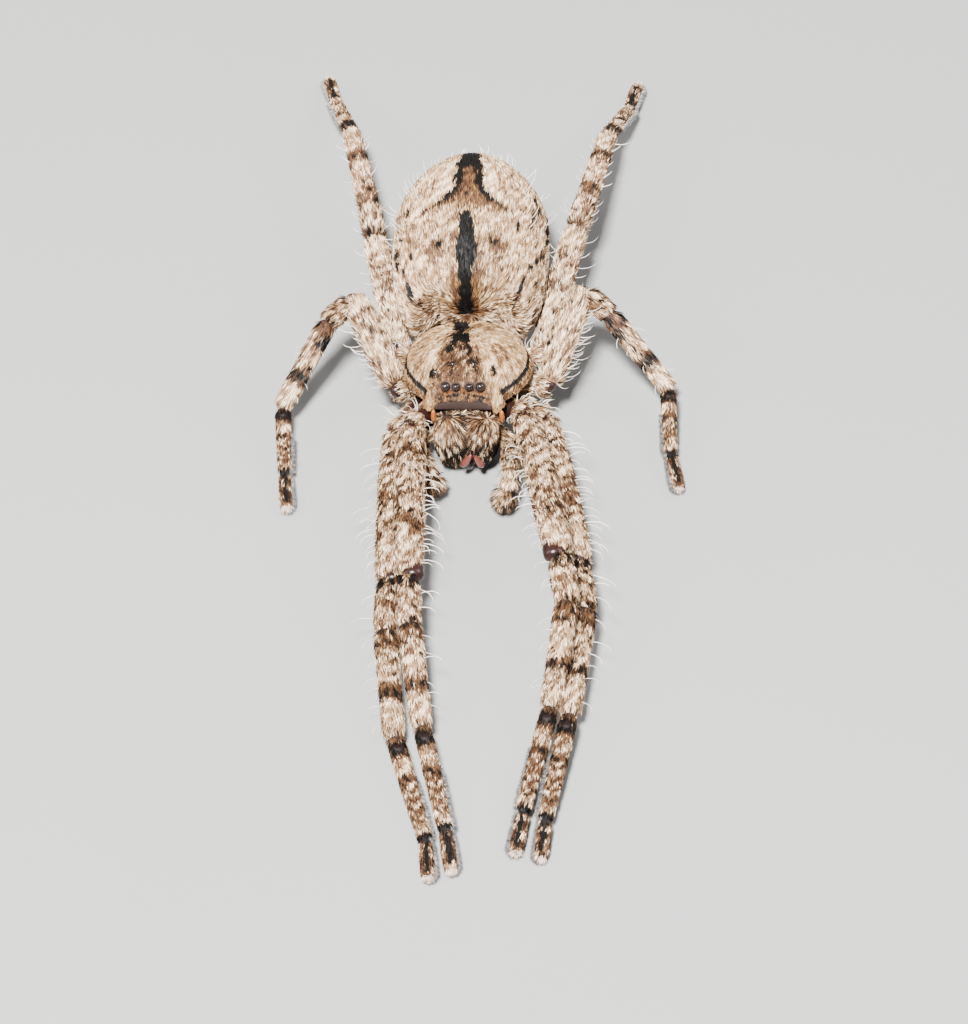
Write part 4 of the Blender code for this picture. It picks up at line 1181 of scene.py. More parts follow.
def growing_tree():
    """Sets a hair on every root: along its lie, lifted off the skin, each with its own size and turn."""
    tree = bpy.data.node_groups.new("growing", "GeometryNodeTree")
    face = tree.interface
    face.new_socket("Geometry", in_out="OUTPUT", socket_type="NodeSocketGeometry")
    sockets = (
        ("Geometry", "NodeSocketGeometry"), ("Hair", "NodeSocketObject"), ("Length", "NodeSocketFloat"),
        ("Width", "NodeSocketFloat"), ("Lift", "NodeSocketFloat"), ("Spread", "NodeSocketFloat"),
        ("Roll", "NodeSocketFloat"), ("Patch", "NodeSocketFloat"), ("Seed", "NodeSocketInt"),
        ("Material", "NodeSocketMaterial"),
    )
    for name, kind in sockets:
        face.new_socket(name, in_out="INPUT", socket_type=kind)
    graph = Graph(tree)
    given = graph.node("NodeGroupInput").outputs
    seed = Value(graph, given["Seed"])

    def named(name, kind="FLOAT"):
        return graph.out("GeometryNodeInputNamedAttribute", {"data_type": kind}, Name=name)

    def random(low, high, own, kind="FLOAT"):
        return graph.out("FunctionNodeRandomValue", {"data_type": kind}, Min=low, Max=high, Seed=seed + own)

    def store(geometry, name, value, kind="FLOAT", domain="POINT"):
        settings = {"data_type": kind, "domain": domain}
        store_node = "GeometryNodeStoreNamedAttribute"
        return graph.out(store_node, settings, Geometry=geometry, Name=name, Value=value)

    def vector(operation, *values):
        made = graph.node("ShaderNodeVectorMath", {"operation": operation})
        for socket, value in zip((s for s in made.inputs if s.enabled), values):
            graph.feed(socket, value)
        return Value(graph, made.outputs[0])

    stray = vector("SCALE", random((-1, -1, -1), (1, 1, 1), 1, "FLOAT_VECTOR"))
    graph.feed(stray.socket.node.inputs["Scale"], given["Spread"])
    lie = vector("ADD", named("lie", "FLOAT_VECTOR"), stray)
    align = "FunctionNodeAlignRotationToVector"
    upright = graph.out(align, {"axis": "Z"}, Vector=named("out", "FLOAT_VECTOR"))
    laid = graph.out(align, {"axis": "X", "pivot_axis": "Z"}, Rotation=upright, Vector=lie)
    lift = Value(graph, given["Lift"]) * named("lift") * random(0.5, 1.5, 2)
    roll = Value(graph, given["Roll"]) * random(-1.0, 1.0, 3)
    tilt = graph.out("ShaderNodeCombineXYZ", X=roll, Y=0.0 - lift)
    tilt = graph.out("FunctionNodeEulerToRotation", Euler=tilt)
    local = {"rotation_space": "LOCAL"}
    rotation = graph.out("FunctionNodeRotateRotation", local, Rotation=laid, Rotate_By=tilt)
    length = Value(graph, given["Length"]) * named("size") * random(0.7, 1.25, 4)
    width = Value(graph, given["Width"]) * named("width") * random(0.75, 1.25, 5)
    scale = graph.out("ShaderNodeCombineXYZ", X=length, Y=width, Z=length)
    points = store(given["Geometry"], "draw", named("clump") * 0.3 + random(0.0, 0.7, 6))
    points = store(points, "shade", named("fleck") * 0.6 + random(0.0, 0.4, 7))
    hair = graph.out("GeometryNodeObjectInfo", Object=given["Hair"]).socket.node.outputs["Geometry"]
    placing = {"Rotation": rotation, "Scale": scale}
    grown = graph.out("GeometryNodeInstanceOnPoints", Points=points, Instance=hair, **placing)
    grown = graph.out("GeometryNodeRealizeInstances", Geometry=grown)
    on_hair = vector("SCALE", named("on_hair", "FLOAT_VECTOR"))
    graph.feed(on_hair.socket.node.inputs["Scale"], given["Patch"])
    unwrap = vector("ADD", named("root_uv", "FLOAT_VECTOR"), on_hair)
    grown = store(grown, "OFBake", unwrap, "FLOAT2", "CORNER")
    grown = graph.out("GeometryNodeSetMaterial", Geometry=grown, Material=given["Material"])
    graph.feed(graph.node("NodeGroupOutput").inputs["Geometry"], grown)
    return tree


def spread(count):
    """Places over a unit square that are even but follow no grid."""
    ratio = 1.32471795724
    n = np.arange(count)
    return (0.5 + n / ratio) % 1.0, (0.5 + n / ratio**2) % 1.0


# Places tried for each root that the densest skin needs, and how far a place may be off its even spacing
SPARE = 1.3
SHAKE = 0.9
# Where the first root stands on the unwrap, and the share of it that the roots of a sheet span
UNWRAP_START, UNWRAP_SPAN = 0.01, 0.975


def roots_on(sheets, density, seed):
    """Roots spread evenly over the sheets, each with its lie, marks, size and place on the unwrap."""
    draw = np.random.default_rng(seed)
    corner_s, corner_turn = np.meshgrid(np.linspace(0.01, 0.99, 40), np.linspace(0, 1, 40, endpoint=False))
    areas = [sheet.frame_at(corner_s.ravel(), corner_turn.ravel())[2] for sheet in sheets]
    total = sum(a.mean() for a in areas)
    rows, low = [], 0.0
    for sheet, found in zip(sheets, areas):
        tallest = found.max() * 1.05
        share = found.mean() / total
        s, turn = spread(int(tallest * density * SPARE))
        shake = SHAKE / math.sqrt(len(s))
        s, turn = (np.clip(v + shake * (draw.random(len(v)) - 0.5), 0, 1) for v in (s, turn))
        points, out, area = sheet.frame_at(s, turn)
        marks = sheet.pattern(s, turn, points)
        keep = draw.random(len(s)) < area / tallest * marks["cover"] / SPARE
        keep &= marks["bare"] < 0.5
        if keep.any():
            kept = {k: values[keep] for k, values in marks.items()}
            rows.append(rooted(sheet, s[keep], turn[keep], points[keep], out[keep], kept, low, share))
        low += share
    return {k: np.concatenate([row[k] for row in rows]) for k in rows[0]}


def rooted(sheet, s, turn, points, out, marks, low, share):
    """The kept roots of one sheet, whose part of the unwrap starts at low and spans share."""
    lie = sheet.lie(s, turn, points)
    lie = unit(lie - out * np.sum(lie * out, axis=1, keepdims=True))
    across, along = UNWRAP_START + UNWRAP_SPAN * s, low + share * (UNWRAP_START + UNWRAP_SPAN * turn)
    row = {"point": points, "out": out, "lie": lie, "size": marks["reach"], "lift": marks["lift"]}
    row["root_uv"] = np.stack((across, along, np.zeros(len(s))), axis=1)
    row["width"] = (0.5 + 0.5 * row["size"]) * marks["thin"]
    row["clump"], row["fleck"] = clumps(points, lie)
    row.update({k: marks[k] for k in MARK_NAMES})
    return row


def placed(found):
    """Roots from a list of points, ways out, lies and sizes, for hair that is placed one by one."""
    points, out, lie, size = (np.array(column, float) for column in zip(*found))
    count = len(points)
    n = np.arange(count)
    columns = int(math.sqrt(count)) + 1
    cell = 0.97 / columns
    uv = np.stack((UNWRAP_START + cell * (n % columns), UNWRAP_START + cell * (n // columns), 0 * n), axis=1)
    row = {"point": points, "out": unit(out), "lie": unit(lie), "size": size, "root_uv": uv}
    for key, value in (("width", 1.0), ("lift", 1.0), ("clump", 0.5), ("fleck", 0.5)):
        row[key] = np.full(count, value)
    return row


# What only the growing needs, and the finished mesh doesn't
SPARE_ATTRIBUTES = ("out", "lie", "root_uv", "on_hair", "size", "width", "lift", "clump", "fleck", "bare")
# Nothing grows lower over the floor than this
LOWEST_HAIR = 0.02


def grow(name, roots, hair, length, width, lift, spread_by, roll, seed, material):
    """Grows one piece of hair from its roots, as a plain mesh: sizes in millimetres, angles in degrees."""
    made = add_object(name, roots["point"], [])
    for key, values in roots.items():
        if key != "point":
            set_attribute(made.data, key, values, "FLOAT_VECTOR" if values.ndim == 2 else "FLOAT")
    tree = bpy.data.node_groups.get("growing") or growing_tree()
    step = made.modifiers.new("growing", "NODES")
    step.node_group = tree
    given = {
        "Hair": hair, "Length": length * MM, "Width": width * MM, "Lift": math.radians(lift),
        "Spread": spread_by, "Roll": math.radians(roll), "Patch": PATCH, "Seed": seed, "Material": material,
    }
    for item in tree.interface.items_tree:
        if item.in_out == "INPUT" and item.name in given:
            step[item.identifier] = given[item.name]
    bpy.context.view_layer.update()
    evaluated = made.evaluated_get(bpy.context.evaluated_depsgraph_get())
    mesh = bpy.data.meshes.new_from_object(evaluated)
    made.modifiers.clear()
    made.data = mesh
    places = np.empty(len(mesh.vertices) * 3, np.float32)
    mesh.vertices.foreach_get("co", places)
    places[2::3] = np.maximum(places[2::3], LOWEST_HAIR * MM)
    mesh.vertices.foreach_set("co", places)
    for spare in SPARE_ATTRIBUTES:
        found = mesh.attributes.get(spare)
        if found:
            mesh.attributes.remove(found)
    made.data.name = name
    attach(made, BODY)
    return made


def hair_kinds():
    """The two hairs that the coats are grown from, made once."""
    kinds = (("hair", hair_object), ("bristle", bristle_object))
    return [bpy.data.objects.get(name) or make() for name, make in kinds]


def colour_value(name, text, value):
    return bpy.props.FloatVectorProperty(
        name=name, description=text, subtype="COLOR", size=3, min=0.0, max=1.0, default=value)


def length_value(name, text, value):
    """A length in metres, given in millimetres."""
    return bpy.props.FloatProperty(
        name=name, description=text, unit="LENGTH", precision=5, default=value * MM)


class SpiderLook(bpy.types.PropertyGroup):
    """Colours of the coat and of the bare parts, and the painted shade at the tufts' roots."""

    cream: colour_value("Cream", "Palest hair of the coat", (0.80, 0.60, 0.40))
    beige: colour_value("Beige", "Common hair of the coat", (0.24, 0.135, 0.066))
    tan: colour_value("Tan", "Lighter hair of the brown marks", (0.115, 0.055, 0.025))
    brown: colour_value("Brown", "Darker hair of the brown marks", (0.030, 0.014, 0.008))
    gold: colour_value("Gold", "Golden hair of the carapace", (0.31, 0.172, 0.06))
    orange: colour_value("Orange", "Reddish hair of the face", (0.15, 0.055, 0.012))
    black: colour_value("Black", "Hair of the black marks", (0.004, 0.0035, 0.003))
    # Painted shade: multiplied into each tuft towards its root and into the hairy skin under the coat
    under: colour_value("Painted root shade", "Shade between the tufts", (0.24, 0.15, 0.10))
    membrane: colour_value("Membrane", "Bare skin of the joints", (0.018, 0.006, 0.005))
    membrane_dark: colour_value("Dark membrane", "Darkest bare skin of the joints", (0.007, 0.003, 0.0025))
    bar: colour_value("Bar", "Bare grey-brown skin under the eyes", (0.024, 0.015, 0.013))
    bristle: colour_value("Bristle", "White bristles", (0.80, 0.74, 0.66))
    spine: colour_value("Spine", "Dark spines of the legs", (0.05, 0.025, 0.015))
    fang: colour_value("Fang", "Red-brown fangs", (0.20, 0.045, 0.028))
    lobe: colour_value("Lobe", "Red lobes between the jaws", (0.12, 0.028, 0.02))
    condyle: colour_value("Condyle", "Orange hinge of a jaw", (0.21, 0.062, 0.008))
    eye: colour_value("Eye", "Black of the lenses", (0.004, 0.003, 0.003))
    floor: colour_value("Floor", "Pale floor", (0.205, 0.203, 0.197))


class SpiderSizes(bpy.types.PropertyGroup):
    """Sizes of the hairs."""

    tuft: length_value("Tuft", "Length of a hair of the coat", 0.62)
    tuft_width: length_value("Tuft width", "Width of a hair of the coat", 0.069)
    bristle: length_value("Bristle", "Length of a white bristle", 1.9)
    bristle_width: length_value("Bristle width", "Thickness of a white bristle", 0.075)
    spine: length_value("Spine", "Length of a dark spine", 1.25)
    claw: length_value("Claw", "Length of a claw", 0.42)
    density: bpy.props.FloatProperty(
        name="Density", description="Hairs to a square millimetre of the legs", min=1.0, default=160.0)


def kit():
    """The sizes in millimetres and the colours that the operators read."""
    scene = bpy.context.scene
    return scene.spider_sizes, scene.spider_look


def fur(look):
    return bpy.data.materials.get("tuft") or tuft_material(look)


class SPIDER_OT_skin(bpy.types.Operator):
    """Builds the one skin of body, legs and feelers in place of the solids of flesh"""

    bl_idname = "spider.skin"
    bl_label = "Skin"

    def execute(self, context):
        look = kit()[1]
        sheets = [s for group in (*sheets_of_body().values(), *sheets_of_legs().values()) for s in group]
        points, faces, marks = joined(sheets)
        skin = add_object("skin", points, faces, skin_material(look))
        for name, values in marks.items():
            set_attribute(skin.data, name, values)
        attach(skin, BODY)
        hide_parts(*(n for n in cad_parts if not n.startswith(("eye_", "fang_"))))
        return {"FINISHED"}


class SPIDER_OT_eyes(bpy.types.Operator):
    """Builds the eight glossy lenses"""

    bl_idname = "spider.eyes"
    bl_label = "Eyes"

    def execute(self, context):
        look = kit()[1]
        glass = plain_material("eye_lens", look.eye, (0.012, 0.007, 0.005), roughness=0.1)
        for row, (across, along, up, half) in EYES.items():
            for side_name, side in SIDES.items():
                build_lens(f"{row}_{side_name}", (side * across, along, up), half, glass)
        return {"FINISHED"}


def build_lens(name, centre, half, glass):
    """A smooth ball that stands in for the eye's coarse solid."""
    def place_at(s, turn):
        polar = np.pi * s
        ring = np.stack((np.cos(2 * np.pi * turn), np.sin(2 * np.pi * turn), 0 * turn), axis=-1)
        top = np.stack((0 * s, 0 * s, np.cos(polar)), axis=-1)
        return head(np.array(centre) + (ring * np.sin(polar)[..., None] + top) * half)

    points, faces, _ = Sheet("lens", place_at, backward_lie, bare_marks, 22, 32).shell()
    lens = add_object(f"lens_{name}", points, faces, glass)
    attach(lens, BODY)
    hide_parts(f"eye_{name}")


class SPIDER_OT_jaws(bpy.types.Operator):
    """Builds the fangs and the orange hinges of the jaws"""

    bl_idname = "spider.jaws"
    bl_label = "Fangs and hinges"

    def execute(self, context):
        look = kit()[1]
        red = plain_material("fang", look.fang, (0.06, 0.01, 0.008), roughness=0.25, bump=0.2, coat=0.4)
        orange = plain_material("condyle", look.condyle, (0.15, 0.035, 0.005), roughness=0.22, coat=0.6)
        pink = plain_material("lobe", look.lobe, (0.08, 0.018, 0.014), roughness=0.3, coat=0.3)
        for side_name, side in SIDES.items():
            build_fang(side_name, side, red)
            build_condyle(side_name, side, orange)
            build_lobe(side_name, side, pink)
        return {"FINISHED"}


FANG_HALF_WIDTHS = ((0.0, 0.34), (0.25, 0.36), (0.6, 0.27), (1.0, 0.08))
CONDYLE_SHAPE = ((0.0, 0.8), (0.5, 1.0), (1.0, 0.8))
LOBE_SHAPE = ((0.0, 0.6), (0.6, 1.0), (1.0, 0.8))
CLAW_SHAPE = ((0.0, 1.0), (0.5, 0.85), (1.0, 0.62))
# The ends of a hinge in the carapace's frame, and of a lobe in the spider's: how far across from the line
# between the two jaws, and then along and up, with where that line is
CONDYLE_MIDDLE, CONDYLE_FOOT, CONDYLE_TOP = 0.3, (2.47, -4.78, -1.15), (2.43, -4.62, -0.1)
LOBE_MIDDLE, LOBE_TOP, LOBE_FOOT = 0.66, (0.1, -6.46, 2.5), (0.74, -6.54, 1.3)


def build_fang(side_name, side, material):
    """A curved fang, folded inwards under its jaw."""
    joints = [place(side, *j) + (CHELICERA_SHIFT, 0, 0) for j in FANG_JOINTS]
    columns = [[(i / 2, j[axis]) for i, j in enumerate(joints)] for axis in range(3)]

    def centre(s):
        return np.stack([smooth(column, s) for column in columns], axis=-1)

    def place_at(s, turn):
        s = np.clip(s, 0, 1)
        way = unit(centre(np.minimum(s + 0.03, 1)) - centre(np.maximum(s - 0.03, 0)))
        first = unit(np.cross(way, (0.0, 0.4, 1.0)))
        second = np.cross(first, way)
        half = smooth(FANG_HALF_WIDTHS, s) * np.sqrt(np.maximum(1 - (1 - np.clip(s / 0.12, 0, 1)) ** 2, 0))
        half = half * np.sqrt(np.clip((1 - s) / 0.06, 0, 1))
        angle = 2 * np.pi * turn[..., None]
        return centre(s) + (np.cos(angle) * first + np.sin(angle) * second) * half[..., None]

    points, faces, _ = Sheet("fang", place_at, backward_lie, bare_marks, 30, 20).shell()
    fang = add_object(f"fang_{side_name}_smooth", points, faces, material)
    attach(fang, BODY)
    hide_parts(f"fang_{side_name}")


def build_condyle(side_name, side, material):
    """The upright orange hinge at the outer corner of a jaw's base."""
    foot, top = (head((side * x + CONDYLE_MIDDLE, y, z)) for x, y, z in (CONDYLE_FOOT, CONDYLE_TOP))
    limb = Limb(foot, top, 0.27, CONDYLE_SHAPE, side, flatness=1.3, caps=(0.25, 0.25))
    points, faces, _ = Sheet("condyle", limb.place, limb.lie, bare_marks, 14, 16).shell()
    hinge = add_object(f"condyle_{side_name}", points, faces, material)
    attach(hinge, BODY)


def build_lobe(side_name, side, material):
    """One of the two red lobes that part the jaws' lower ends."""
    top, foot = ((LOBE_MIDDLE + side * x, y, z) for x, y, z in (LOBE_TOP, LOBE_FOOT))
    limb = Limb(top, foot, 0.33, LOBE_SHAPE, side, flatness=1.0, caps=(0.2, 0.3))
    points, faces, _ = Sheet("lobe", limb.place, limb.lie, bare_marks, 14, 16).shell()
    lobe = add_object(f"lobe_{side_name}", points, faces, material)
    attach(lobe, BODY)


class SPIDER_OT_claws(bpy.types.Operator):
    """Builds two small claws on each foot"""

    bl_idname = "spider.claws"
    bl_label = "Claws"

    def execute(self, context):
        sizes, look = kit()
        dark = plain_material("claw", look.spine, (0.02, 0.01, 0.008), roughness=0.3)
        points, faces, _ = joined([
            claw_sheet(leg_joints(side_name, pair), side, lean, sizes.claw / MM)
            for side_name, side in SIDES.items()
            for pair in LEG_LENGTHS
            for lean in (-1, 1)
        ])
        claws = add_object("claws", points, faces, dark)
        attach(claws, BODY)
        return {"FINISHED"}


def claw_sheet(joints, side, lean, reach):
    """One claw, curved down from the end of a foot, on the side of its middle that lean gives."""
    along = unit(joints[5] - joints[4])
    across = unit(np.cross(along, (0.0, 0.0, 1.0)))
    start = joints[5] - along * 0.1 + across * lean * 0.13
    end = start + along * reach * 0.9 - np.array((0, 0, 0.16))
    claw = Limb(start, end, 0.16, CLAW_SHAPE, side, bow=0.14, caps=(0.1, 0.1))
    return Sheet("claw", claw.place, claw.lie, bare_marks, 8, 8)


class SPIDER_OT_leg_coats(bpy.types.Operator):
    """Grows the coat of each leg"""

    bl_idname = "spider.leg_coats"
    bl_label = "Coats of the legs"

    def execute(self, context):
        sizes, look = kit()
        hair = hair_kinds()[0]
        for i, ((side, pair), sheets) in enumerate(sheets_of_legs().items()):
            hairy = [s for s in sheets if "knob" not in s.name]
            coat = grow(
                f"coat_leg_{pair}_{side}", roots_on(hairy, sizes.density, seed=40 + i), hair,
                sizes.tuft / MM, sizes.tuft_width / MM,
                lift=13, spread_by=0.22, roll=50, seed=60 + i, material=fur(look),
            )
        return {"FINISHED"}


class SPIDER_OT_body_coats(bpy.types.Operator):
    """Grows the coats of carapace, abdomen, face, feelers and underside"""

    bl_idname = "spider.body_coats"
    bl_label = "Coats of the body"

    # How many times denser and longer than the legs' coat each one is, and its lift off the skin in degrees
    COATS = (
        ("carapace", 2.0, 0.72, 10), ("abdomen", 0.86, 1.05, 10), ("face", 2.0, 1.0, 20),
        ("underside", 0.8, 0.9, 14),
    )

    def execute(self, context):
        sizes, look = kit()
        hair = hair_kinds()[0]
        groups = sheets_of_body()
        for i, (group, denser, longer, lift) in enumerate(self.COATS):
            coat = grow(
                f"coat_{group}", roots_on(groups[group], sizes.density * denser, seed=50 + i), hair,
                sizes.tuft / MM * longer, sizes.tuft_width / MM * (0.4 + 0.6 * longer),
                lift=lift, spread_by=0.2, roll=50, seed=80 + i, material=fur(look),
            )
        return {"FINISHED"}


# Rows of white bristles on each pair's lengths: angle, first share, last share and count, and how long they
# are where that isn't 1
BRISTLE_ROWS = {
    1: {
        "femur": ((150, 0.3, 0.97, 16), (178, 0.35, 0.95, 8), (95, 0.1, 0.9, 6)),
        "patella": ((165, 0.1, 0.9, 3),),
        "tibia": ((165, 0.05, 0.95, 6, 0.8), (85, 0.1, 0.8, 3, 0.8)),
    },
    2: {
        "femur": ((10, 0.1, 0.97, 17), (30, 0.3, 0.95, 6)),
        "patella": ((8, 0.1, 0.9, 3),),
        "tibia": ((8, 0.05, 0.95, 6, 0.8),),
    },
    3: {
        "femur": ((168, 0.02, 0.85, 20, 0.6), (190, 0.02, 0.6, 10, 0.6), (25, 0.3, 0.9, 5, 0.7)),
        "tibia": ((170, 0.2, 0.95, 4, 0.5), (15, 0.1, 0.9, 3, 0.5)),
    },
    4: {
        "femur": ((170, 0.2, 0.95, 7, 0.7), (10, 0.2, 0.95, 8, 0.7)),
        "patella": ((170, 0.1, 0.9, 3, 0.7), (10, 0.1, 0.9, 3, 0.7)),
        "tibia": ((165, 0.1, 0.95, 5, 0.65), (20, 0.1, 0.95, 5, 0.65)),
    },
}
COXA_ROWS = ((60, 0.75, 0.95, 4, 0.6), (10, 0.7, 0.95, 5, 0.7), (170, 0.75, 0.95, 4, 0.6))
SPINE_ROWS = ((62, 0.28, 0.95, 3), (118, 0.22, 0.9, 3))
# Bristles of the abdomen on each side
ABDOMEN_BRISTLES = 34


def rows_on(sheet, rows, draw):
    """Roots in rows along a length of a leg, which lean on along it."""
    found = []
    for degrees, first, last, count, *size in rows:
        for k in range(count):
            s = np.array([first + (last - first) * (k + draw.uniform(0.1, 0.9)) / count])
            turn = np.array([(degrees + draw.uniform(-12, 12)) / 360])
            points, out, _ = sheet.frame_at(s, turn)
            way = sheet.limb.along + draw.normal(0, 0.12, 3)
            found.append((points[0], out[0], way, draw.uniform(0.65, 1.15) * (size or [1.0])[0]))
    return found


def abdomen_bristles(draw):
    """Roots round the rear and the flanks of the abdomen."""
    found = []
    sheet = Sheet("abdomen", abdomen_place, abdomen_lie, abdomen_marks, 4, 4)
    for mirrored in (False, True):
        for k in range(ABDOMEN_BRISTLES):
            s = np.array([0.42 + 0.56 * (k + draw.uniform(0, 1)) / ABDOMEN_BRISTLES])
            lift = draw.uniform(-8, 50)
            turn = np.array([(180 - lift if mirrored else lift) / 360])
            points, out, _ = sheet.frame_at(s, turn)
            way = np.array((0, 1.0, 0.25)) + draw.normal(0, 0.15, 3)
            found.append((points[0], out[0], way, draw.uniform(0.45, 0.95)))
    return found


class SPIDER_OT_bristles(bpy.types.Operator):
    """Grows the white bristles of legs, roots and abdomen, and the dark spines of the legs"""

    bl_idname = "spider.bristles"
    bl_label = "Bristles and spines"

    def execute(self, context):
        sizes, look = kit()
        bristle = hair_kinds()[1]
        white = plain_material("bristle", look.bristle, (0.5, 0.43, 0.36), roughness=0.4, scale=400.0)
        dark = plain_material("spine", look.spine, (0.03, 0.015, 0.01), roughness=0.35)
        draw = np.random.default_rng(7)
        rows, spines = [], []
        for (side, pair), sheets in sheets_of_legs().items():
            for sheet in sheets:
                part = sheet.name.split("_")[-1]
                own = COXA_ROWS if part == "coxa" else BRISTLE_ROWS[pair].get(part, ())
                rows += rows_on(sheet, own, draw)
                if part == "femur" and pair < 3:
                    spines += rows_on(sheet, SPINE_ROWS, draw)
        rows += abdomen_bristles(draw)
        long, wide = sizes.bristle / MM, sizes.bristle_width / MM
        for name, found, length, width, material in (
            ("bristles", rows, long, wide, white), ("spines", spines, sizes.spine / MM, wide * 1.2, dark)
        ):
            piece = grow(
                name, placed(found), bristle, length, width,
                lift=42, spread_by=0.1, roll=25, seed=90, material=material,
            )
        return {"FINISHED"}


# Hairs in the brush of one length of a foot, and in the tuft round its claws
BRUSH_HAIRS = 1300
CLAW_TUFT_HAIRS = 260


class SPIDER_OT_foot_brushes(bpy.types.Operator):
    """Grows the grey brushes along the feet and the pale tufts round their claws"""

    bl_idname = "spider.foot_brushes"
    bl_label = "Brushes of the feet"

    def execute(self, context):
        look = kit()[1]
        hair = hair_kinds()[0]
        grey = plain_material("brush", (0.2, 0.19, 0.18), (0.09, 0.085, 0.08), roughness=0.6, scale=3000.0)
        pink = plain_material(
            "claw_tuft", (0.6, 0.48, 0.40), (0.34, 0.24, 0.19), roughness=0.5, scale=3000.0)
        draw = np.random.default_rng(17)
        brush, tuft = [], []
        for sheets in sheets_of_legs().values():
            for sheet in sheets:
                part = sheet.name.split("_")[-1]
                if part in ("metatarsus", "tarsus"):
                    brush += brush_on(sheet, 0.4 if part == "metatarsus" else 0.0, draw)
                if part == "tarsus":
                    tuft += claw_tuft(sheet, draw)
        for name, found, length, lift, material in (
            ("foot_brushes", brush, 0.44, 58, grey), ("claw_tufts", tuft, 0.42, 26, pink)
        ):
            piece = grow(
                name, placed(found), hair, length, 0.05,
                lift=lift, spread_by=0.2, roll=60, seed=95, material=material,
            )
        return {"FINISHED"}


def brush_on(sheet, first, draw):
    """Roots of short hairs that stand out from the front face of a foot, down to its sole."""
    count = BRUSH_HAIRS
    s = first + (0.99 - first) * draw.random(count)
    turn = draw.uniform(168, 218, count) / 360
    points, out, _ = sheet.frame_at(s, turn)
    way = sheet.limb.along * 0.8 + draw.normal(0, 0.1, (count, 3))
    return list(zip(points, out, way, draw.uniform(0.95, 1.1, count) * (0.6 + 0.4 * s)))


def claw_tuft(sheet, draw):
    """Roots all round the end of a foot."""
    count = CLAW_TUFT_HAIRS
    s = 0.93 + 0.06 * draw.random(count)
    points, out, _ = sheet.frame_at(s, draw.random(count))
    way = sheet.limb.along + draw.normal(0, 0.3, (count, 3))
    return list(zip(points, out, way, draw.uniform(0.7, 1.3, count)))


class SPIDER_OT_stage(bpy.types.Operator):
    """Sets the pale floor, the soft lights and the camera"""

    bl_idname = "spider.stage"
    bl_label = "Floor, lights and camera"

    def execute(self, context):
        look = kit()[1]
        floor = add_floor(look)
        add_camera()
        centre = Vector(on_frame(AIM))
        add_light("key", centre, (-0.06, -0.2, 0.44), size=0.08, power=19.0)
        add_light("fill_left", centre, (-0.45, -0.1, 0.3), size=0.3, power=2.4)
        add_light("fill_right", centre, (0.4, 0.1, 0.35), size=0.3, power=2.4)
        world = bpy.context.scene.world or bpy.data.worlds.new("world")
        bpy.context.scene.world = world
        world.use_nodes = True
        sky = world.node_tree.nodes["Background"].inputs
        sky["Color"].default_value = (0.95, 0.97, 1.0, 1.0)
        sky["Strength"].default_value = 0.45
        return {"FINISHED"}


# Half the width of the floor, in metres
FLOOR_HALF = 3.0


def add_floor(look):
    """A pale floor with a barely seen grain."""
    darker = tuple(c * 0.97 for c in look.floor)
    mesh = bpy.data.meshes.new("floor")
    corners = [(x * FLOOR_HALF, y * FLOOR_HALF, 0) for x, y in ((-1, -1), (1, -1), (1, 1), (-1, 1))]
    mesh.from_pydata(corners, [], [(0, 1, 2, 3)])
    mesh.materials.append(plain_material("floor", look.floor, darker, roughness=0.7, scale=60.0))
    floor = bpy.data.objects.new("floor", mesh)
    bpy.context.scene.collection.objects.link(floor)
    return floor


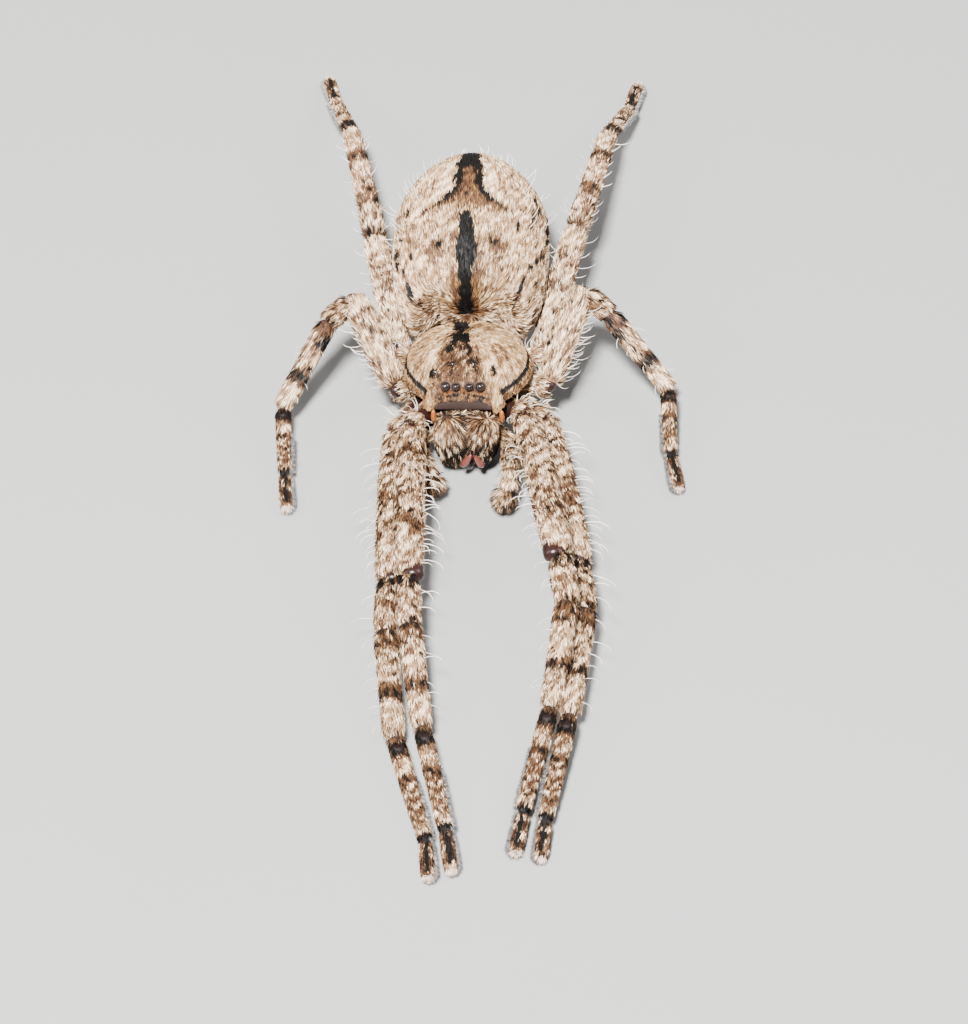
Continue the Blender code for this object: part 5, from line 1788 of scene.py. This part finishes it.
def add_camera():
    """The camera at the photo's angle, level with the picture, its middle off the aimed point."""
    up_angle, turn = math.radians(VIEW_UP), math.radians(VIEW_TURN)
    level = math.cos(up_angle)
    back = Vector((math.sin(turn) * level, -math.cos(turn) * level, math.sin(up_angle)))
    right = Vector((math.cos(turn), math.sin(turn), 0))
    up = back.cross(right)
    focus = PICTURE_SCALE * CAMERA_DISTANCE
    across = (AIM_PIXEL[0] - PICTURE[0] / 2) / focus
    above = -(AIM_PIXEL[1] - PICTURE[1] / 2) / focus
    spot_at = Vector(on_frame(AIM)) + CAMERA_DISTANCE * MM * (back - right * across - up * above)
    data = bpy.data.cameras.new("camera")
    data.sensor_width = SENSOR
    data.lens = SENSOR * focus / max(PICTURE)
    data.clip_start, data.clip_end = 0.01, 20.0
    camera = bpy.data.objects.new("camera", data)
    camera.matrix_world = Matrix.Translation(spot_at) @ Matrix((right, up, back)).transposed().to_4x4()
    bpy.context.scene.collection.objects.link(camera)
    bpy.context.scene.camera = camera


def add_light(name, centre, offset, size, power):
    """A square soft light that faces the animal."""
    data = bpy.data.lights.new(name, "AREA")
    data.size, data.energy = size, power
    light = bpy.data.objects.new(name, data)
    light.location = centre + Vector(offset)
    light.rotation_euler = Vector(offset).to_track_quat("Z", "Y").to_euler()
    bpy.context.scene.collection.objects.link(light)


class SPIDER_PT_panel(bpy.types.Panel):
    """Lists the steps and the values that they read"""

    bl_label = "Huntsman Spider"
    bl_space_type = "VIEW_3D"
    bl_region_type = "UI"
    bl_category = "Spider"

    def draw(self, context):
        for operator in OPERATORS:
            self.layout.operator(operator.bl_idname)
        for group in (context.scene.spider_sizes, context.scene.spider_look):
            for name in group.__annotations__:
                self.layout.prop(group, name)


OPERATORS = (
    SPIDER_OT_skin, SPIDER_OT_eyes, SPIDER_OT_jaws, SPIDER_OT_claws, SPIDER_OT_leg_coats,
    SPIDER_OT_body_coats, SPIDER_OT_bristles, SPIDER_OT_foot_brushes, SPIDER_OT_stage,
)
CLASSES = (SpiderLook, SpiderSizes, *OPERATORS, SPIDER_PT_panel)


def register():
    for kind in CLASSES:
        bpy.utils.register_class(kind)
    bpy.types.Scene.spider_look = bpy.props.PointerProperty(type=SpiderLook)
    bpy.types.Scene.spider_sizes = bpy.props.PointerProperty(type=SpiderSizes)


def unregister():
    del bpy.types.Scene.spider_look
    del bpy.types.Scene.spider_sizes
    for kind in reversed(CLASSES):
        bpy.utils.unregister_class(kind)


def main():
    """Builds every piece."""
    register()
    bpy.ops.spider.skin()
    bpy.ops.spider.eyes()
    bpy.ops.spider.jaws()
    bpy.ops.spider.claws()
    bpy.ops.spider.leg_coats()
    bpy.ops.spider.body_coats()
    bpy.ops.spider.bristles()
    bpy.ops.spider.foot_brushes()
    bpy.ops.spider.stage()
    for name in ("hair", "bristle"):
        bpy.data.objects.remove(bpy.data.objects[name])


if __name__ == "__main__":
    main()
